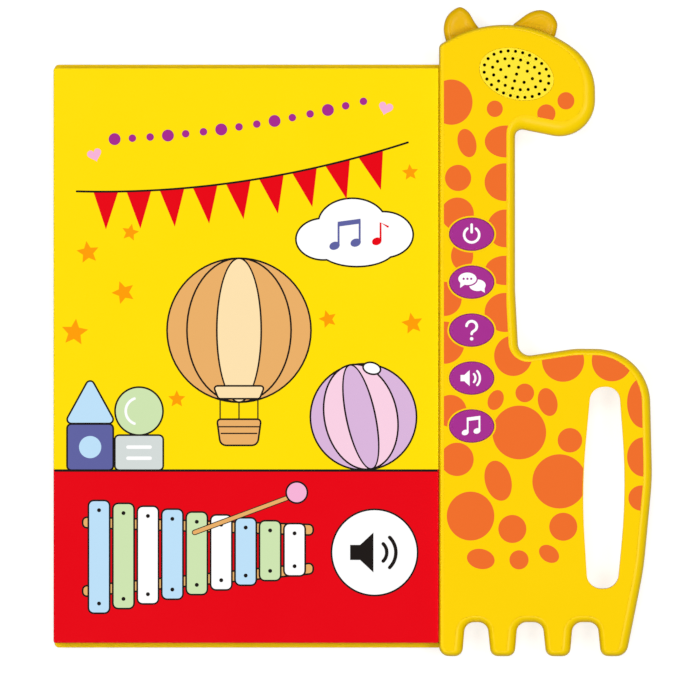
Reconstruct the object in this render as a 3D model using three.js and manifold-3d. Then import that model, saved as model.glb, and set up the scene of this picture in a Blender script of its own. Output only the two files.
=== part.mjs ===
// A sound book: a hardcover picture book glued into a thin moulded tray, and along its right
// side a flat sound module in the outline of a standing giraffe. Five buttons lie in the neck,
// a loudspeaker sits in the head, and a hand slot behind the body makes the whole thing a bag
// that a child can carry. The book lies on its back: millimetres, +Z up, +Y towards the head.
// While modelling, x = 0 is the seam between book and module, and y = 0 the foot of the tray.
import * as THREE from "three";
import { mergeVertices } from "three/addons/utils/BufferGeometryUtils.js";
import Module from "manifold-3d";

const wasm = await Module();
wasm.setup();

// Clearances and the fineness of curves
const hair = 0.05;
const slide = 0.3;
const chord = 0.28;
const through = 5;

// The two moulded shells
const moduleDepth = 19.5;
const partingHeight = 9;
const partingGap = 0.1;
const wall = 2;
const edgeRadius = 3;
const edgeSteps = 2;
const rearChamfer = 1;

// The book and its tray
const bookHeight = 258;
const bookReach = 173.5;
const coverRise = 0.7;
const coverOverhang = 0.9;
const trayFloor = 2;
const rimWidth = 2;
const rimHeight = 6.5;
const boardThickness = 2;
const bookGap = 0.7;
const sensorThickness = 0.8;
const leafCount = 8;
const leafThickness = 1.1;
const leafGroove = 0.15;
const grooveDepth = 0.25;
const square = 3;
const hingeGap = 0.15;
const pasteThickness = 0.3;
const bookFoot = rimWidth + slide;
const bookTop = bookFoot + bookHeight;
const bookHead = bookTop + coverRise;
const trayHeight = bookTop + slide + rimWidth;
const trayReach = bookReach - coverOverhang;

// Batteries, their bay and door
const batteryRadius = 5.25;
const batteryLength = 43;
const batteryGap = 0.5;
const batteryPitch = 2 * batteryRadius + batteryGap;
const batteryCount = 3;
const nubRadius = 1.9;
const nubLength = 1.3;
const bayLeft = 6;
const bayFoot = 20;
const bayWall = 1.2;
const contactThickness = 0.4;
const springLength = 3;
const doorTab = 6;
const bayRight = bayLeft + batteryLength + nubLength + springLength + 2 * (contactThickness + slide);
const bayHead = bayFoot + batteryCount * batteryPitch + slide;

// The body of the giraffe and its hand slot, which lies beside the battery bay
const backHeight = 134.7;
const slotGap = 8.7;
const slotWidth = 19.4;
const slotBottom = 26.6;
const slotWaist = 44.5;
const slotHeadroom = 17.2;
const slotCorner = 6.3;
const handleWidth = 11.9;
const slotLeft = bayRight + bayWall + slotGap;
const slotRight = slotLeft + slotWidth;
const slotTop = backHeight - slotHeadroom;
const tailReach = slotRight + handleWidth;
const haunch = tailReach - 3.9;
const rumpReach = tailReach - 1.4;

// Its feet, and the notches that share what the feet leave of the span
const footSpan = tailReach - 11.7;
const footWidths = [10.4, 10.7, 10.7, 11.3];
const notchShares = [12.9, 14.2, 14];
const footDrop = 3.7;
const notchHeight = 11.6;
const notchFlare = 1.3;

// Its neck, and the head that stands over the book
const neckWidth = 34.2;
const napeRise = 8.7;
const crownRise = 19.2;
const crownPlace = 32.2;
const browDrop = 27.6;
const snoutDepth = 28.7;
const snoutReach = 70.2;
const jawSlope = 7.4;
const napeHeight = trayHeight + napeRise;
const crownHeight = napeHeight + crownRise;
const browHeight = crownHeight - browDrop;
const jawHeight = browHeight - snoutDepth;

// The printed film on the face of the module
const filmBorder = 0.3;
const filmInset = edgeRadius + filmBorder;
const filmThickness = 0.25;
const slotMargin = 0.4;

// The buttons, their rubber keypad and the circuit board
const buttonPlace = 14.7;
const buttonPitch = 21.575;
const buttonMiddle = backHeight + 8.35;
const buttonNames = ["button_power", "button_language", "button_quiz", "button_volume", "button_songs"];
const buttonHeights = buttonNames.map((_, index) => buttonMiddle + (2 - index) * buttonPitch);
const buttonWidth = 20.2;
const buttonHeight = 14.8;
const buttonProud = 1;
const buttonCrown = 0.7;
const buttonRing = 0.9;
const flangeWidth = 1.2;
const flangeThickness = 1.3;
const travel = 1;
const domeHeight = travel + 1.6;
const domeRadius = 4.5;
const padThickness = 1;
const boardDepth = 1.2;
const circuitMargin = 12.85;
const circuitInset = 2.2;
const circuitClearance = 2;
const chipSize = 9;
const chipThickness = 1.6;
const postRadius = 2.4;
const pinRadius = 1.1;

// The loudspeaker and its grille
const speakerX = 34.9;
const speakerY = crownHeight - 32.3;
const grilleLong = 17.1;
const grilleShort = 11.4;
const grilleTilt = -16;
const grilleFlange = 1.5;
const grilleLip = 0.5;
const grilleThickness = 1.6;
const grilleSink = 0.2;
const holeRadius = 0.85;
const holeRings = 3;
const holesPerRing = 8;
const ringLong = grilleLong - 2.1;
const ringShort = grilleShort - 1.6;
const speakerRadius = 18;
const speakerRim = 1.4;
const basketDepth = 4.2;
const magnetRadius = 9;
const magnetDepth = 4;

// Screws that close the housing, driven from the underside
const bossRadius = 4;
const shankRadius = 1.3;
const headRadius = 2.8;
const headDepth = 1.6;
const headSink = 0.4;

// Ears of the giraffe, as closed curves through points [x, height over nape or crown]
const leftEar = [
  [4.5, -3.8], [2.3, 2.2], [1.7, 8.2], [3.4, 13.9], [8.6, 17.1], [13.8, 15.3],
  [17.6, 9.3], [21, 2.1], [13, -3.8],
].map(([x, rise]) => [x, napeHeight + rise]);
const rightEar = [
  [35, -17.1], [31.6, -11.1], [35.8, -6.9], [41.6, -3.7], [48, -3.4], [52.9, -6.9],
  [53.6, -12.1], [51.5, -17.9], [44, -19.5],
].map(([x, rise]) => [x, crownHeight + rise]);
const earBack = partingHeight - 2.4;
const earFront = partingHeight + 3.2;
const earRim = 2.4;
const earDish = 1.4;
const earRound = 0.9;
const earSegments = 22;

// Spots printed on the film: place, half length, half width and turn in degrees
const spots = [
  [5.6, 245.6, 9.5, 10.2, 0], [25.1, 242.6, 3.6, 3.6, 0], [48.3, 240.5, 4.1, 4.1, 0],
  [57.1, 246.2, 3.8, 3.8, 0], [12.6, 227.2, 4.1, 6.5, 15], [30, 227.9, 9.4, 7.2, 0],
  [8.6, 211.5, 5.9, 5.9, 0], [29.7, 209.6, 9.2, 8.5, 0], [8.3, 195.3, 7.4, 7.4, 0],
  [29.7, 188.8, 8.1, 8.5, 0], [10.4, 176.4, 5, 6.3, 0], [29.7, 169.9, 9, 6.6, 0],
  [2.5, 157.1, 7.7, 7.7, 0], [29.7, 151, 9.2, 8.8, 0], [2.5, 137.4, 9, 9.5, 0],
  [32.9, 131.4, 8.6, 9.2, 0], [55.8, 129.6, 9.5, 9.5, 0], [77.6, 130.5, 9.5, 9.5, 0],
  [91.8, 111.2, 7.2, 11.3, 0], [91.8, 86, 7.2, 8.8, 0], [91.1, 67.5, 5.9, 5.7, 0],
  [25.5, 111.6, 3.4, 4.7, -25], [38.6, 114.8, 4.2, 4.2, 0], [48.9, 110.7, 4.3, 6.4, 15],
  [36.1, 97, 12.1, 12.1, 0], [58.9, 93.5, 5.5, 5.5, 0], [5.2, 106.7, 7.2, 7.2, 0],
  [8.1, 84.9, 7.5, 7.5, 0], [26.6, 75.3, 5.9, 9.2, 15], [54.2, 75, 12.2, 12.2, 0],
  [14.2, 59.4, 10.7, 11, 0], [33, 53.6, 6.3, 6.3, 0], [55.9, 54.6, 6.3, 6.3, 0],
  [18.8, 40.1, 6.3, 4.5, -12], [36, 39.7, 4.3, 4.3, 0], [49.5, 42.4, 4.9, 3.6, -35],
];
const spotSegments = 10;
const ovalSegments = 16;
const roundSegments = 8;
const postSegments = 6;
const inkDepth = 0.05;

// Plastics, print, paper and metals
function finish(colour, roughness, metalness = 0) {
  return new THREE.MeshStandardMaterial({ color: colour, roughness, metalness });
}
const shellYellow = finish(0xffe000, 0.32);
const grilleYellow = finish(0xffe62e, 0.35);
const filmYellow = finish(0xfcd200, 0.28);
const spotOrange = finish(0xee6e2a, 0.28);
const earGold = finish(0xe4b400, 0.34);
const buttonPurple = finish(0xa52a8e, 0.35);
const coverYellow = finish(0xffde00, 0.3);
const coverRed = finish(0xe60012, 0.3);
const inkBlack = finish(0x1c1614, 0.3);
const inkWhite = finish(0xffffff, 0.3);
const inkTan = finish(0xe8ae68, 0.3);
const inkCream = finish(0xfbe0ae, 0.3);
const inkPink = finish(0xf7cfe2, 0.3);
const inkLilac = finish(0xd8b4da, 0.3);
const inkGrey = finish(0xd3dad8, 0.3);
const inkIndigo = finish(0x5f62a0, 0.3);
const inkBlue = finish(0xbcdff7, 0.3);
const inkGreen = finish(0xcde3b0, 0.3);
const inkStar = finish(0xff9c00, 0.3);
const paperWhite = finish(0xf6f3ea, 0.8);
const rubberGrey = finish(0x8d9296, 0.8);
const circuitGreen = finish(0x1f6b3a, 0.5);
const chipBlack = finish(0x1a1a1c, 0.5);
const sensorFilm = finish(0xd9c9a0, 0.4);
const steel = finish(0xb8babd, 0.35, 1);
const coneBlack = finish(0x24242a, 0.9);
const leadRed = finish(0xb02020, 0.5);
const cellGreen = finish(0x3c7d4a, 0.4);

const model = new THREE.Group();

// Turns a closed geometry into a solid: like corners are merged and slivers dropped.
function solidOf(geometry) {
  const bare = new THREE.BufferGeometry();
  bare.setAttribute("position", geometry.getAttribute("position"));
  bare.setIndex(geometry.index);
  const merged = mergeVertices(bare, 1e-4);
  const place = merged.getAttribute("position");
  const corners = merged.index.array;
  const kept = [];
  let volume = 0;
  const a = new THREE.Vector3();
  const b = new THREE.Vector3();
  const c = new THREE.Vector3();
  for (let start = 0; start < corners.length; start += 3) {
    const [first, second, third] = corners.subarray(start, start + 3);
    if (first !== second && second !== third && third !== first) {
      kept.push(first, second, third);
      a.fromBufferAttribute(place, first);
      b.fromBufferAttribute(place, second);
      c.fromBufferAttribute(place, third);
      volume += a.dot(b.cross(c));
    }
  }
  if (volume < 0) {
    kept.reverse();
  }
  return new wasm.Manifold(new wasm.Mesh({
    numProp: 3,
    vertProperties: new Float32Array(place.array),
    triVerts: new Uint32Array(kept),
  }));
}

// The runs of a solid's triangles tell which field of print each came from.
function addMesh(name, body, material, fields = []) {
  const data = body.getMesh();
  const geometry = new THREE.BufferGeometry();
  const positions = new Float32Array(data.numVert * 3);
  for (let corner = 0; corner < data.numVert; corner += 1) {
    const start = corner * data.numProp;
    positions.set(data.vertProperties.subarray(start, start + 3), corner * 3);
  }
  geometry.setAttribute("position", new THREE.BufferAttribute(positions, 3));
  geometry.setIndex(new THREE.BufferAttribute(new Uint32Array(data.triVerts), 1));
  let finishes = material;
  if (fields.length > 0) {
    finishes = [material, ...fields.map((field) => field.material)];
    data.runOriginalID.forEach((original, run) => {
      const from = data.runIndex[run];
      const index = fields.findIndex((field) => field.original === original) + 1;
      geometry.addGroup(from, data.runIndex[run + 1] - from, index);
    });
  }
  geometry.computeVertexNormals();
  const mesh = new THREE.Mesh(geometry, finishes);
  mesh.name = name;
  model.add(mesh);
}

// Splits the skin of a solid into fields of colour that share their borders. The first
// layer lies on top of the next ones, and the fields stay parts of one solid.
function printOn(body, layers) {
  let rest = body;
  const fields = [];
  for (const layer of layers) {
    const field = rest.intersect(layer.solid);
    rest = rest.subtract(layer.solid);
    if (!field.isEmpty()) {
      const marked = field.asOriginal();
      fields.push({ solid: marked, original: marked.originalID(), material: layer.material });
    }
  }
  const whole = fields.reduce((sum, field) => sum.add(field.solid), rest.asOriginal());
  return { solid: whole, fields };
}

// A solid between loops of the same number of points, each at its own height.
function loft(rings) {
  const count = rings[0].loop.length;
  const clockwise = THREE.ShapeUtils.isClockWise(rings[0].loop);
  const positions = rings.flatMap(({ loop, z }) =>
    (clockwise ? loop.toReversed() : loop).flatMap((point) => [point.x, point.y, z]));
  const index = [];
  for (let ring = 0; ring + 1 < rings.length; ring += 1) {
    for (let step = 0; step < count; step += 1) {
      const next = (step + 1) % count;
      const low = ring * count;
      const high = low + count;
      index.push(low + step, low + next, high + next);
      index.push(low + step, high + next, high + step);
    }
  }
  const last = (rings.length - 1) * count;
  const cap = (loop) => THREE.ShapeUtils.triangulateShape(clockwise ? loop.toReversed() : loop, []);
  for (const [one, two, three] of cap(rings[0].loop)) {
    index.push(three, two, one);
  }
  for (const [one, two, three] of cap(rings.at(-1).loop)) {
    index.push(last + one, last + two, last + three);
  }
  const geometry = new THREE.BufferGeometry();
  geometry.setAttribute("position", new THREE.BufferAttribute(new Float32Array(positions), 3));
  geometry.setIndex(index);
  return solidOf(geometry);
}

function prism(loop, bottom, top) {
  return loft([{ loop, z: bottom }, { loop, z: top }]);
}

function block(left, right, foot, head, bottom, top) {
  const geometry = new THREE.BoxGeometry(right - left, head - foot, top - bottom);
  geometry.translate((left + right) / 2, (foot + head) / 2, (bottom + top) / 2);
  return solidOf(geometry);
}

// A turned piece standing at x, y: its profile is [radius, height] from axis to axis.
function turned(profile, segments, x, y) {
  const points = profile.map(([radius, height]) => new THREE.Vector2(radius, height));
  const geometry = new THREE.LatheGeometry(points, segments);
  geometry.rotateX(Math.PI / 2);
  geometry.translate(x, y, 0);
  return solidOf(geometry);
}

function cylinder(x, y, radius, bottom, top, segments = roundSegments) {
  return turned([[0, bottom], [radius, bottom], [radius, top], [0, top]], segments, x, y);
}

// Corners [x, y, radius], anticlockwise, moved inwards by inset and joined by arcs. A side
// too short for its two arcs makes them smaller. Every inset gives the same number of
// points, so that two such loops can be lofted.
function rounded(corners, inset = 0) {
  const lines = corners.map(([x, y], index) => {
    const [nextX, nextY] = corners[(index + 1) % corners.length];
    const side = new THREE.Vector2(nextX - x, nextY - y);
    const length = side.length();
    const along = side.normalize();
    const from = new THREE.Vector2(x - along.y * inset, y + along.x * inset);
    return { from, along, length };
  });
  const tangents = corners.map(([, , radius], index) => {
    const before = lines[(index + lines.length - 1) % lines.length].along;
    return radius * Math.tan(Math.abs(before.angleTo(lines[index].along)) / 2);
  });
  const fit = (index) => {
    const here = index % corners.length;
    return lines[here].length / (tangents[here] + tangents[(here + 1) % corners.length]);
  };
  return corners.flatMap(([, , wanted], index) => {
    const radius = wanted * Math.min(1, fit(index), fit(index + corners.length - 1));
    const before = lines[(index + lines.length - 1) % lines.length];
    const after = lines[index];
    const turn = before.along.cross(after.along);
    const gap = after.from.clone().sub(before.from);
    const reach = gap.cross(after.along) / turn;
    const corner = before.from.clone().addScaledVector(before.along, reach);
    const angle = Math.atan2(turn, before.along.dot(after.along));
    const side = Math.sign(angle);
    const arc = Math.max(radius - side * inset, 0.05);
    const stepAngle = 2 * Math.acos(1 - Math.min(chord / radius, 0.5));
    const steps = Math.max(1, Math.ceil(Math.abs(angle) / stepAngle));
    const tangent = arc * Math.tan(Math.abs(angle) / 2);
    const start = corner.clone().addScaledVector(before.along, -tangent);
    const normal = new THREE.Vector2(-before.along.y, before.along.x).multiplyScalar(side);
    const centre = start.clone().addScaledVector(normal, arc);
    return Array.from({ length: steps + 1 }, (_, step) =>
      start.clone().rotateAround(centre, (angle * step) / steps));
  });
}

function ellipse(x, y, halfWidth, halfHeight, turnDegrees = 0, segments = 24) {
  const turn = THREE.MathUtils.degToRad(turnDegrees);
  return new THREE.EllipseCurve(x, y, halfWidth, halfHeight, 0, 2 * Math.PI, false, turn)
    .getPoints(segments)
    .slice(0, segments);
}

// A closed curve through points, each of its points moved towards its middle by inset.
function curved(points, segments, inset = 0) {
  const ring = new THREE.CatmullRomCurve3(
    points.map(([x, y]) => new THREE.Vector3(x, y, 0)), true, "centripetal",
  );
  const middle = new THREE.Vector2();
  for (const [x, y] of points) {
    middle.add(new THREE.Vector2(x, y).divideScalar(points.length));
  }
  return Array.from({ length: segments }, (_, step) => {
    const { x, y } = ring.getPointAt(step / segments);
    const inwards = middle.clone().sub(new THREE.Vector2(x, y)).setLength(inset);
    return new THREE.Vector2(x, y).add(inwards);
  });
}

// The giraffe's outline: feet and notches along the bottom, then up its right side.
function giraffe() {
  const total = (list) => list.reduce((sum, value) => sum + value, 0);
  const notchScale = (footSpan - total(footWidths)) / total(notchShares);
  const corners = [];
  let left = 0;
  footWidths.forEach((width, index) => {
    if (index > 0) {
      left += notchShares[index - 1] * notchScale;
      corners.push([left - notchFlare * 1.2, notchHeight, 4.5]);
    }
    corners.push([left, -footDrop, index > 0 ? 3.6 : 4.5]);
    left += width;
    const last = index + 1 === footWidths.length;
    corners.push([left, -footDrop, last ? 5.4 : 3.6]);
    if (!last) {
      corners.push([left + notchFlare, notchHeight, 4.5]);
    }
  });
  return [
    ...corners,
    [haunch, 35.1, 135],
    [tailReach, 75.6, 112],
    [rumpReach, backHeight - 0.4, 17.3],
    [neckWidth + 27, backHeight, 36],
    [neckWidth + 1.6, backHeight - 3.9, 5.4],
    [neckWidth, backHeight + 26.4, 67],
    [neckWidth, jawHeight, 3.2],
    [snoutReach, jawHeight - jawSlope, 16],
    [snoutReach, browHeight, 24.8],
    [crownPlace, crownHeight, 52],
    [0, napeHeight, 3.2],
  ];
}

function handSlot() {
  return [
    [slotLeft + 2.7, slotBottom, slotCorner],
    [slotRight - 4.1, slotBottom, slotCorner],
    [slotRight, slotBottom + slotWaist, 110],
    [slotRight - 2.9, slotTop, slotCorner - 0.7],
    [slotLeft + 3.8, slotTop, slotCorner - 0.7],
    [slotLeft, slotBottom + slotWaist, 110],
  ];
}

const outline = giraffe();
const slotCorners = handSlot();
const faceInside = moduleDepth - wall;
const filmTop = moduleDepth + hair + filmThickness;

// Heights of what is stacked under a button, from its flange down to the circuit board
const flangeTop = faceInside - 0.2;
const flangeBottom = flangeTop - flangeThickness;
const domeTop = flangeBottom - hair;
const padTop = domeTop - domeHeight;
const padBottom = padTop - padThickness;
const circuitTop = padBottom - hair;
const circuitBottom = circuitTop - boardDepth;
const circuitHead = buttonHeights[0] + circuitMargin;
const circuitFoot = buttonHeights.at(-1) - circuitMargin;
const circuitLeft = wall + circuitInset;
const circuitRight = neckWidth - wall - circuitClearance;
const circuitMiddle = (circuitLeft + circuitRight) / 2;
const postInset = 3.4;
const posts = [
  [circuitLeft + postInset, circuitFoot + postInset],
  [circuitRight - postInset, circuitFoot + postInset],
  [circuitRight - postInset, circuitHead - postInset],
  [circuitLeft + postInset, circuitHead - postInset],
];

// Heights of the book in its tray
const sensorBottom = trayFloor + hair;
const sensorTop = sensorBottom + sensorThickness;
const backBottom = sensorTop + hair;
const backTop = backBottom + boardThickness;
const pagesBottom = backTop + hair;
const pagesTop = pagesBottom + leafCount * leafThickness + (leafCount - 1) * leafGroove;
const pasteTop = pagesTop + hingeGap + pasteThickness;
const coverBottom = pasteTop;
const coverTop = coverBottom + boardThickness;

// The battery bay, a tub that opens to the underside
const batteryBottom = wall + slide;
const batteryAxis = batteryBottom + batteryRadius;
const bayTop = batteryAxis + batteryRadius + slide;

// Screw bosses: in the nape, the snout, above and below the circuit board, in the rump
// and in the last foot
const bosses = [
  [8, napeHeight - 14.3],
  [snoutReach - 9.2, browHeight - 18.9],
  [9, circuitHead + 14.95],
  [8, circuitFoot - 11.05],
  [slotLeft - 7.6, backHeight - 13.7],
  [footSpan - 5.2, 14],
];

function button(y, grow, bottom, top) {
  return prism(
    ellipse(buttonPlace, y, buttonWidth / 2 + grow, buttonHeight / 2 + grow, 0, ovalSegments), bottom, top,
  );
}

function grilleOval(grow, segments = 22) {
  return ellipse(speakerX, speakerY, grilleLong + grow, grilleShort + grow, grilleTilt, segments);
}

function ear(points, grow, bottom, top) {
  return prism(curved(points, earSegments, -grow), bottom, top);
}

// The front shell: rounded along its edge and hollow behind, with the hand slot walled in.
function frontShell() {
  const rings = [{ loop: rounded(outline), z: partingHeight + partingGap }];
  for (let step = 0; step <= edgeSteps; step += 1) {
    const angle = (Math.PI / 2) * (step / edgeSteps);
    rings.push({
      loop: rounded(outline, edgeRadius * (1 - Math.cos(angle))),
      z: moduleDepth - edgeRadius * (1 - Math.sin(angle)),
    });
  }
  let shell = loft(rings);
  shell = shell.subtract(prism(rounded(outline, wall), partingHeight - 1, faceInside));
  shell = shell.add(slotWall(partingHeight + partingGap, moduleDepth - wall / 2));
  for (const [x, y] of bosses) {
    shell = shell.add(cylinder(
      x, y, bossRadius, partingHeight + partingGap, moduleDepth - wall / 2, postSegments,
    ));
    shell = shell.subtract(cylinder(x, y, shankRadius + hair, partingHeight - 1, faceInside));
  }
  for (const y of buttonHeights) {
    shell = shell.subtract(button(y, slide, faceInside - 1, moduleDepth + 1));
  }
  shell = shell.subtract(prism(grilleOval(slide / 2), faceInside - 1, moduleDepth + 1));
  shell = shell.subtract(prism(rounded(slotCorners), partingHeight - 1, moduleDepth + 1));
  return withoutEars(shell);
}

// A wall round the hand slot, from one height to another
function slotWall(bottom, top) {
  return prism(rounded(slotCorners, -wall), bottom, top);
}

function withoutEars(shell) {
  return [leftEar, rightEar].reduce(
    (rest, points) => rest.subtract(ear(points, 0.15, earBack - 0.15, earFront + 0.15)), shell,
  );
}

// The printed film is glued on the face. Round the buttons and the grille it leaves the
// shell bare, and its spots are cut off by its edge.
function faceFilm() {
  const bottom = moduleDepth + hair;
  const cut = (shape) => film.subtract(shape(bottom - 1, filmTop + 1));
  let film = prism(rounded(outline, filmInset), bottom, filmTop);
  film = cut((low, high) => prism(rounded(slotCorners, -slotMargin), low, high));
  for (const y of buttonHeights) {
    film = cut((low, high) => button(y, buttonRing, low, high));
  }
  film = cut((low, high) => prism(grilleOval(slide), low, high));
  const layers = spots.map(([x, y, halfWidth, halfHeight, turn]) => ({
    solid: prism(
      ellipse(x, y, halfWidth, halfHeight, turn, spotSegments), filmTop - inkDepth, filmTop + 1,
    ),
    material: spotOrange,
  }));
  return printOn(film, layers);
}

// The rear shell and the book's tray are one moulding.
function rearShell() {
  const bottomLoop = { loop: rounded(outline, rearChamfer), z: 0 };
  const sideLoop = { loop: rounded(outline), z: rearChamfer };
  let shell = loft([bottomLoop, sideLoop, { loop: rounded(outline), z: partingHeight }]);
  const tray = block(-trayReach, wall, 0, trayHeight, 0, trayFloor);
  const foot = block(-trayReach, wall, 0, rimWidth, trayFloor / 2, rimHeight);
  const head = block(-trayReach, wall, trayHeight - rimWidth, trayHeight, trayFloor / 2, rimHeight);
  shell = shell.add(tray).add(foot).add(head);
  shell = shell.subtract(prism(rounded(outline, wall), wall, partingHeight + 1));
  shell = shell.add(slotWall(wall / 2, partingHeight));
  for (const [x, y] of bosses) {
    shell = shell.add(cylinder(x, y, bossRadius, wall / 2, partingHeight, postSegments));
    shell = shell.subtract(cylinder(x, y, shankRadius + slide, -1, partingHeight + 1));
    shell = shell.subtract(cylinder(x, y, headRadius + slide, -1, headSink + headDepth + hair));
  }
  for (const [x, y] of posts) {
    shell = shell.add(cylinder(x, y, postRadius, wall / 2, circuitBottom - hair, postSegments));
    shell = shell.add(cylinder(x, y, pinRadius, wall / 2, circuitTop - hair, postSegments));
  }
  for (const [x, y] of speakerPosts()) {
    shell = shell.add(cylinder(x, y, 1.8, wall / 2, speakerTop - speakerRim - hair, postSegments));
  }
  const bayOuter = block(
    bayLeft - bayWall, bayRight + bayWall, bayFoot - bayWall, bayHead + bayWall, wall / 2, bayTop + bayWall,
  );
  shell = shell.add(bayOuter);
  shell = shell.add(cylinder(doorScrewX, doorScrewY, bossRadius, wall / 2, partingHeight - 1));
  shell = shell.subtract(block(bayLeft, bayRight, bayFoot, bayHead, -1, bayTop));
  shell = shell.subtract(doorShape(slide, -1, doorThickness + hair, false));
  shell = shell.subtract(cylinder(doorScrewX, doorScrewY, shankRadius + hair, -1, partingHeight - 2));
  shell = shell.subtract(prism(rounded(slotCorners), -1, partingHeight + 1));
  shell = shell.subtract(block(
    -1, wall + 1, ribbonFoot - slide, ribbonHead + slide, trayFloor, ribbonWindow,
  ));
  return withoutEars(shell);
}

// The door closes the bay from below, and a tab at its head takes the screw.
const doorThickness = wall - 0.4;
const doorScrewX = (bayLeft + bayRight) / 2;
const doorScrewY = bayHead + bayWall + doorTab / 2 + 0.6;

function doorShape(grow, bottom, top, plateToo) {
  const tab = rounded([
    [doorScrewX - doorTab - grow, bayHead - 2, 1],
    [doorScrewX + doorTab + grow, bayHead - 2, 1],
    [doorScrewX + doorTab + grow, doorScrewY + doorTab / 2 + 1 + grow, 3],
    [doorScrewX - doorTab - grow, doorScrewY + doorTab / 2 + 1 + grow, 3],
  ]);
  const shape = prism(tab, bottom, top);
  if (!plateToo) {
    return shape;
  }
  return shape.add(block(bayLeft + slide, bayRight - slide, bayFoot + slide, bayHead - slide, bottom, top));
}

function batteryDoor() {
  let door = doorShape(0, hair, doorThickness, true);
  for (let finger = 0; finger < 3; finger += 1) {
    const y = bayFoot + 6 + finger * 1.8;
    door = door.subtract(block(doorScrewX - 8, doorScrewX + 8, y, y + 0.9, -1, 0.6));
  }
  door = door.subtract(cylinder(doorScrewX, doorScrewY, shankRadius + slide, -1, wall));
  return door.subtract(cylinder(doorScrewX, doorScrewY, headRadius + slide, -1, 0.9));
}

function screw(x, y, head, depth, top) {
  return turned([
    [0, head], [headRadius, head], [headRadius, head + depth], [shankRadius, head + depth],
    [shankRadius, top], [0, top],
  ], roundSegments, x, y);
}

// The ears are separate mouldings with a raised rim, held in the joint between the shells.
function earPiece(points) {
  const body = loft([
    { loop: curved(points, earSegments), z: earBack },
    { loop: curved(points, earSegments), z: earFront - earRound },
    { loop: curved(points, earSegments, earRound), z: earFront },
  ]);
  const dish = loft([
    { loop: curved(points, earSegments, earRim + earRound), z: earFront - earDish },
    { loop: curved(points, earSegments, earRim), z: earFront + 0.5 },
  ]);
  return body.subtract(dish);
}

function buttonCap(y) {
  const top = moduleDepth + buttonProud;
  const halfWidth = buttonWidth / 2;
  const halfHeight = buttonHeight / 2;
  const oval = (inset) => ellipse(buttonPlace, y, halfWidth - inset, halfHeight - inset, 0, ovalSegments);
  return loft([
    { loop: oval(-flangeWidth), z: flangeBottom },
    { loop: oval(-flangeWidth), z: flangeTop },
    { loop: oval(0), z: flangeTop },
    { loop: oval(0), z: top - buttonCrown },
    { loop: oval(buttonCrown), z: top },
  ]);
}

// A rubber sheet with a dome under each button
function keypad() {
  let pad = block(
    circuitLeft + 1, circuitRight - 1, buttonHeights.at(-1) - 9, buttonHeights[0] + 9, padBottom, padTop,
  );
  for (const y of buttonHeights) {
    pad = pad.add(turned([
      [0, padBottom], [domeRadius + 1, padBottom], [domeRadius + 1, padTop], [domeRadius, padTop],
      [domeRadius * 0.65, domeTop], [0, domeTop],
    ], 10, buttonPlace, y));
  }
  return pad;
}

function circuitBoard() {
  let board = block(circuitLeft, circuitRight, circuitFoot, circuitHead, circuitBottom, circuitTop);
  for (const [x, y] of posts) {
    board = board.subtract(cylinder(
      x, y, pinRadius + 3 * hair, circuitBottom - 1, circuitTop + 1, postSegments,
    ));
  }
  return board;
}

// The loudspeaker is pressed up against the back of its grille.
const grilleBack = flangeTop - 1.1;
const speakerTop = grilleBack - hair;
const basketBottom = speakerTop - speakerRim - basketDepth;

function speakerPosts() {
  const reach = speakerRadius - 0.2;
  return [150, 270, 30].map((degrees) => {
    const angle = THREE.MathUtils.degToRad(degrees);
    return [speakerX + reach * Math.cos(angle), speakerY + reach * Math.sin(angle)];
  });
}

function grille() {
  const top = moduleDepth - grilleSink;
  let plate = prism(grilleOval(grilleFlange), grilleBack, flangeTop);
  plate = plate.add(prism(grilleOval(-hair), flangeTop - 0.5, top));
  plate = plate.subtract(prism(grilleOval(-grilleLip), grilleBack - 1, top - grilleThickness));
  const turn = THREE.MathUtils.degToRad(grilleTilt);
  const hole = (x, y) => cylinder(x, y, holeRadius, top - grilleThickness - 1, top + 1, 5);
  plate = plate.subtract(hole(speakerX, speakerY));
  for (let ring = 1; ring <= holeRings; ring += 1) {
    const count = ring * holesPerRing;
    for (let step = 0; step < count; step += 1) {
      const angle = (2 * Math.PI * step) / count;
      const place = new THREE.Vector2(
        (ringLong * ring * Math.cos(angle)) / holeRings, (ringShort * ring * Math.sin(angle)) / holeRings,
      ).rotateAround(new THREE.Vector2(), turn);
      plate = plate.subtract(hole(speakerX + place.x, speakerY + place.y));
    }
  }
  return plate;
}

function speakerFrame() {
  return turned([
    [magnetRadius - 2, basketBottom], [magnetRadius + 1.5, basketBottom],
    [speakerRadius - 2.4, speakerTop - speakerRim], [speakerRadius, speakerTop - speakerRim],
    [speakerRadius, speakerTop], [speakerRadius - 2.6, speakerTop],
    [magnetRadius + 0.7, basketBottom + 0.8], [magnetRadius - 2, basketBottom + 0.8],
    [magnetRadius - 2, basketBottom],
  ], 12, speakerX, speakerY);
}

function speakerCone() {
  const outer = speakerRadius - 4;
  return turned([
    [0, basketBottom + 1.4], [4.5, basketBottom + 1.2], [outer - 0.8, speakerTop - 1.2],
    [outer, speakerTop - 0.9], [outer, speakerTop - 0.3], [outer - 1, speakerTop - 0.5],
    [4, basketBottom + 2.2], [2.5, basketBottom + 3.2], [0, basketBottom + 3.6],
  ], 12, speakerX, speakerY);
}

function speakerMagnet() {
  return cylinder(
    speakerX, speakerY, magnetRadius, basketBottom - hair - magnetDepth, basketBottom - hair, 14,
  );
}

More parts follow.
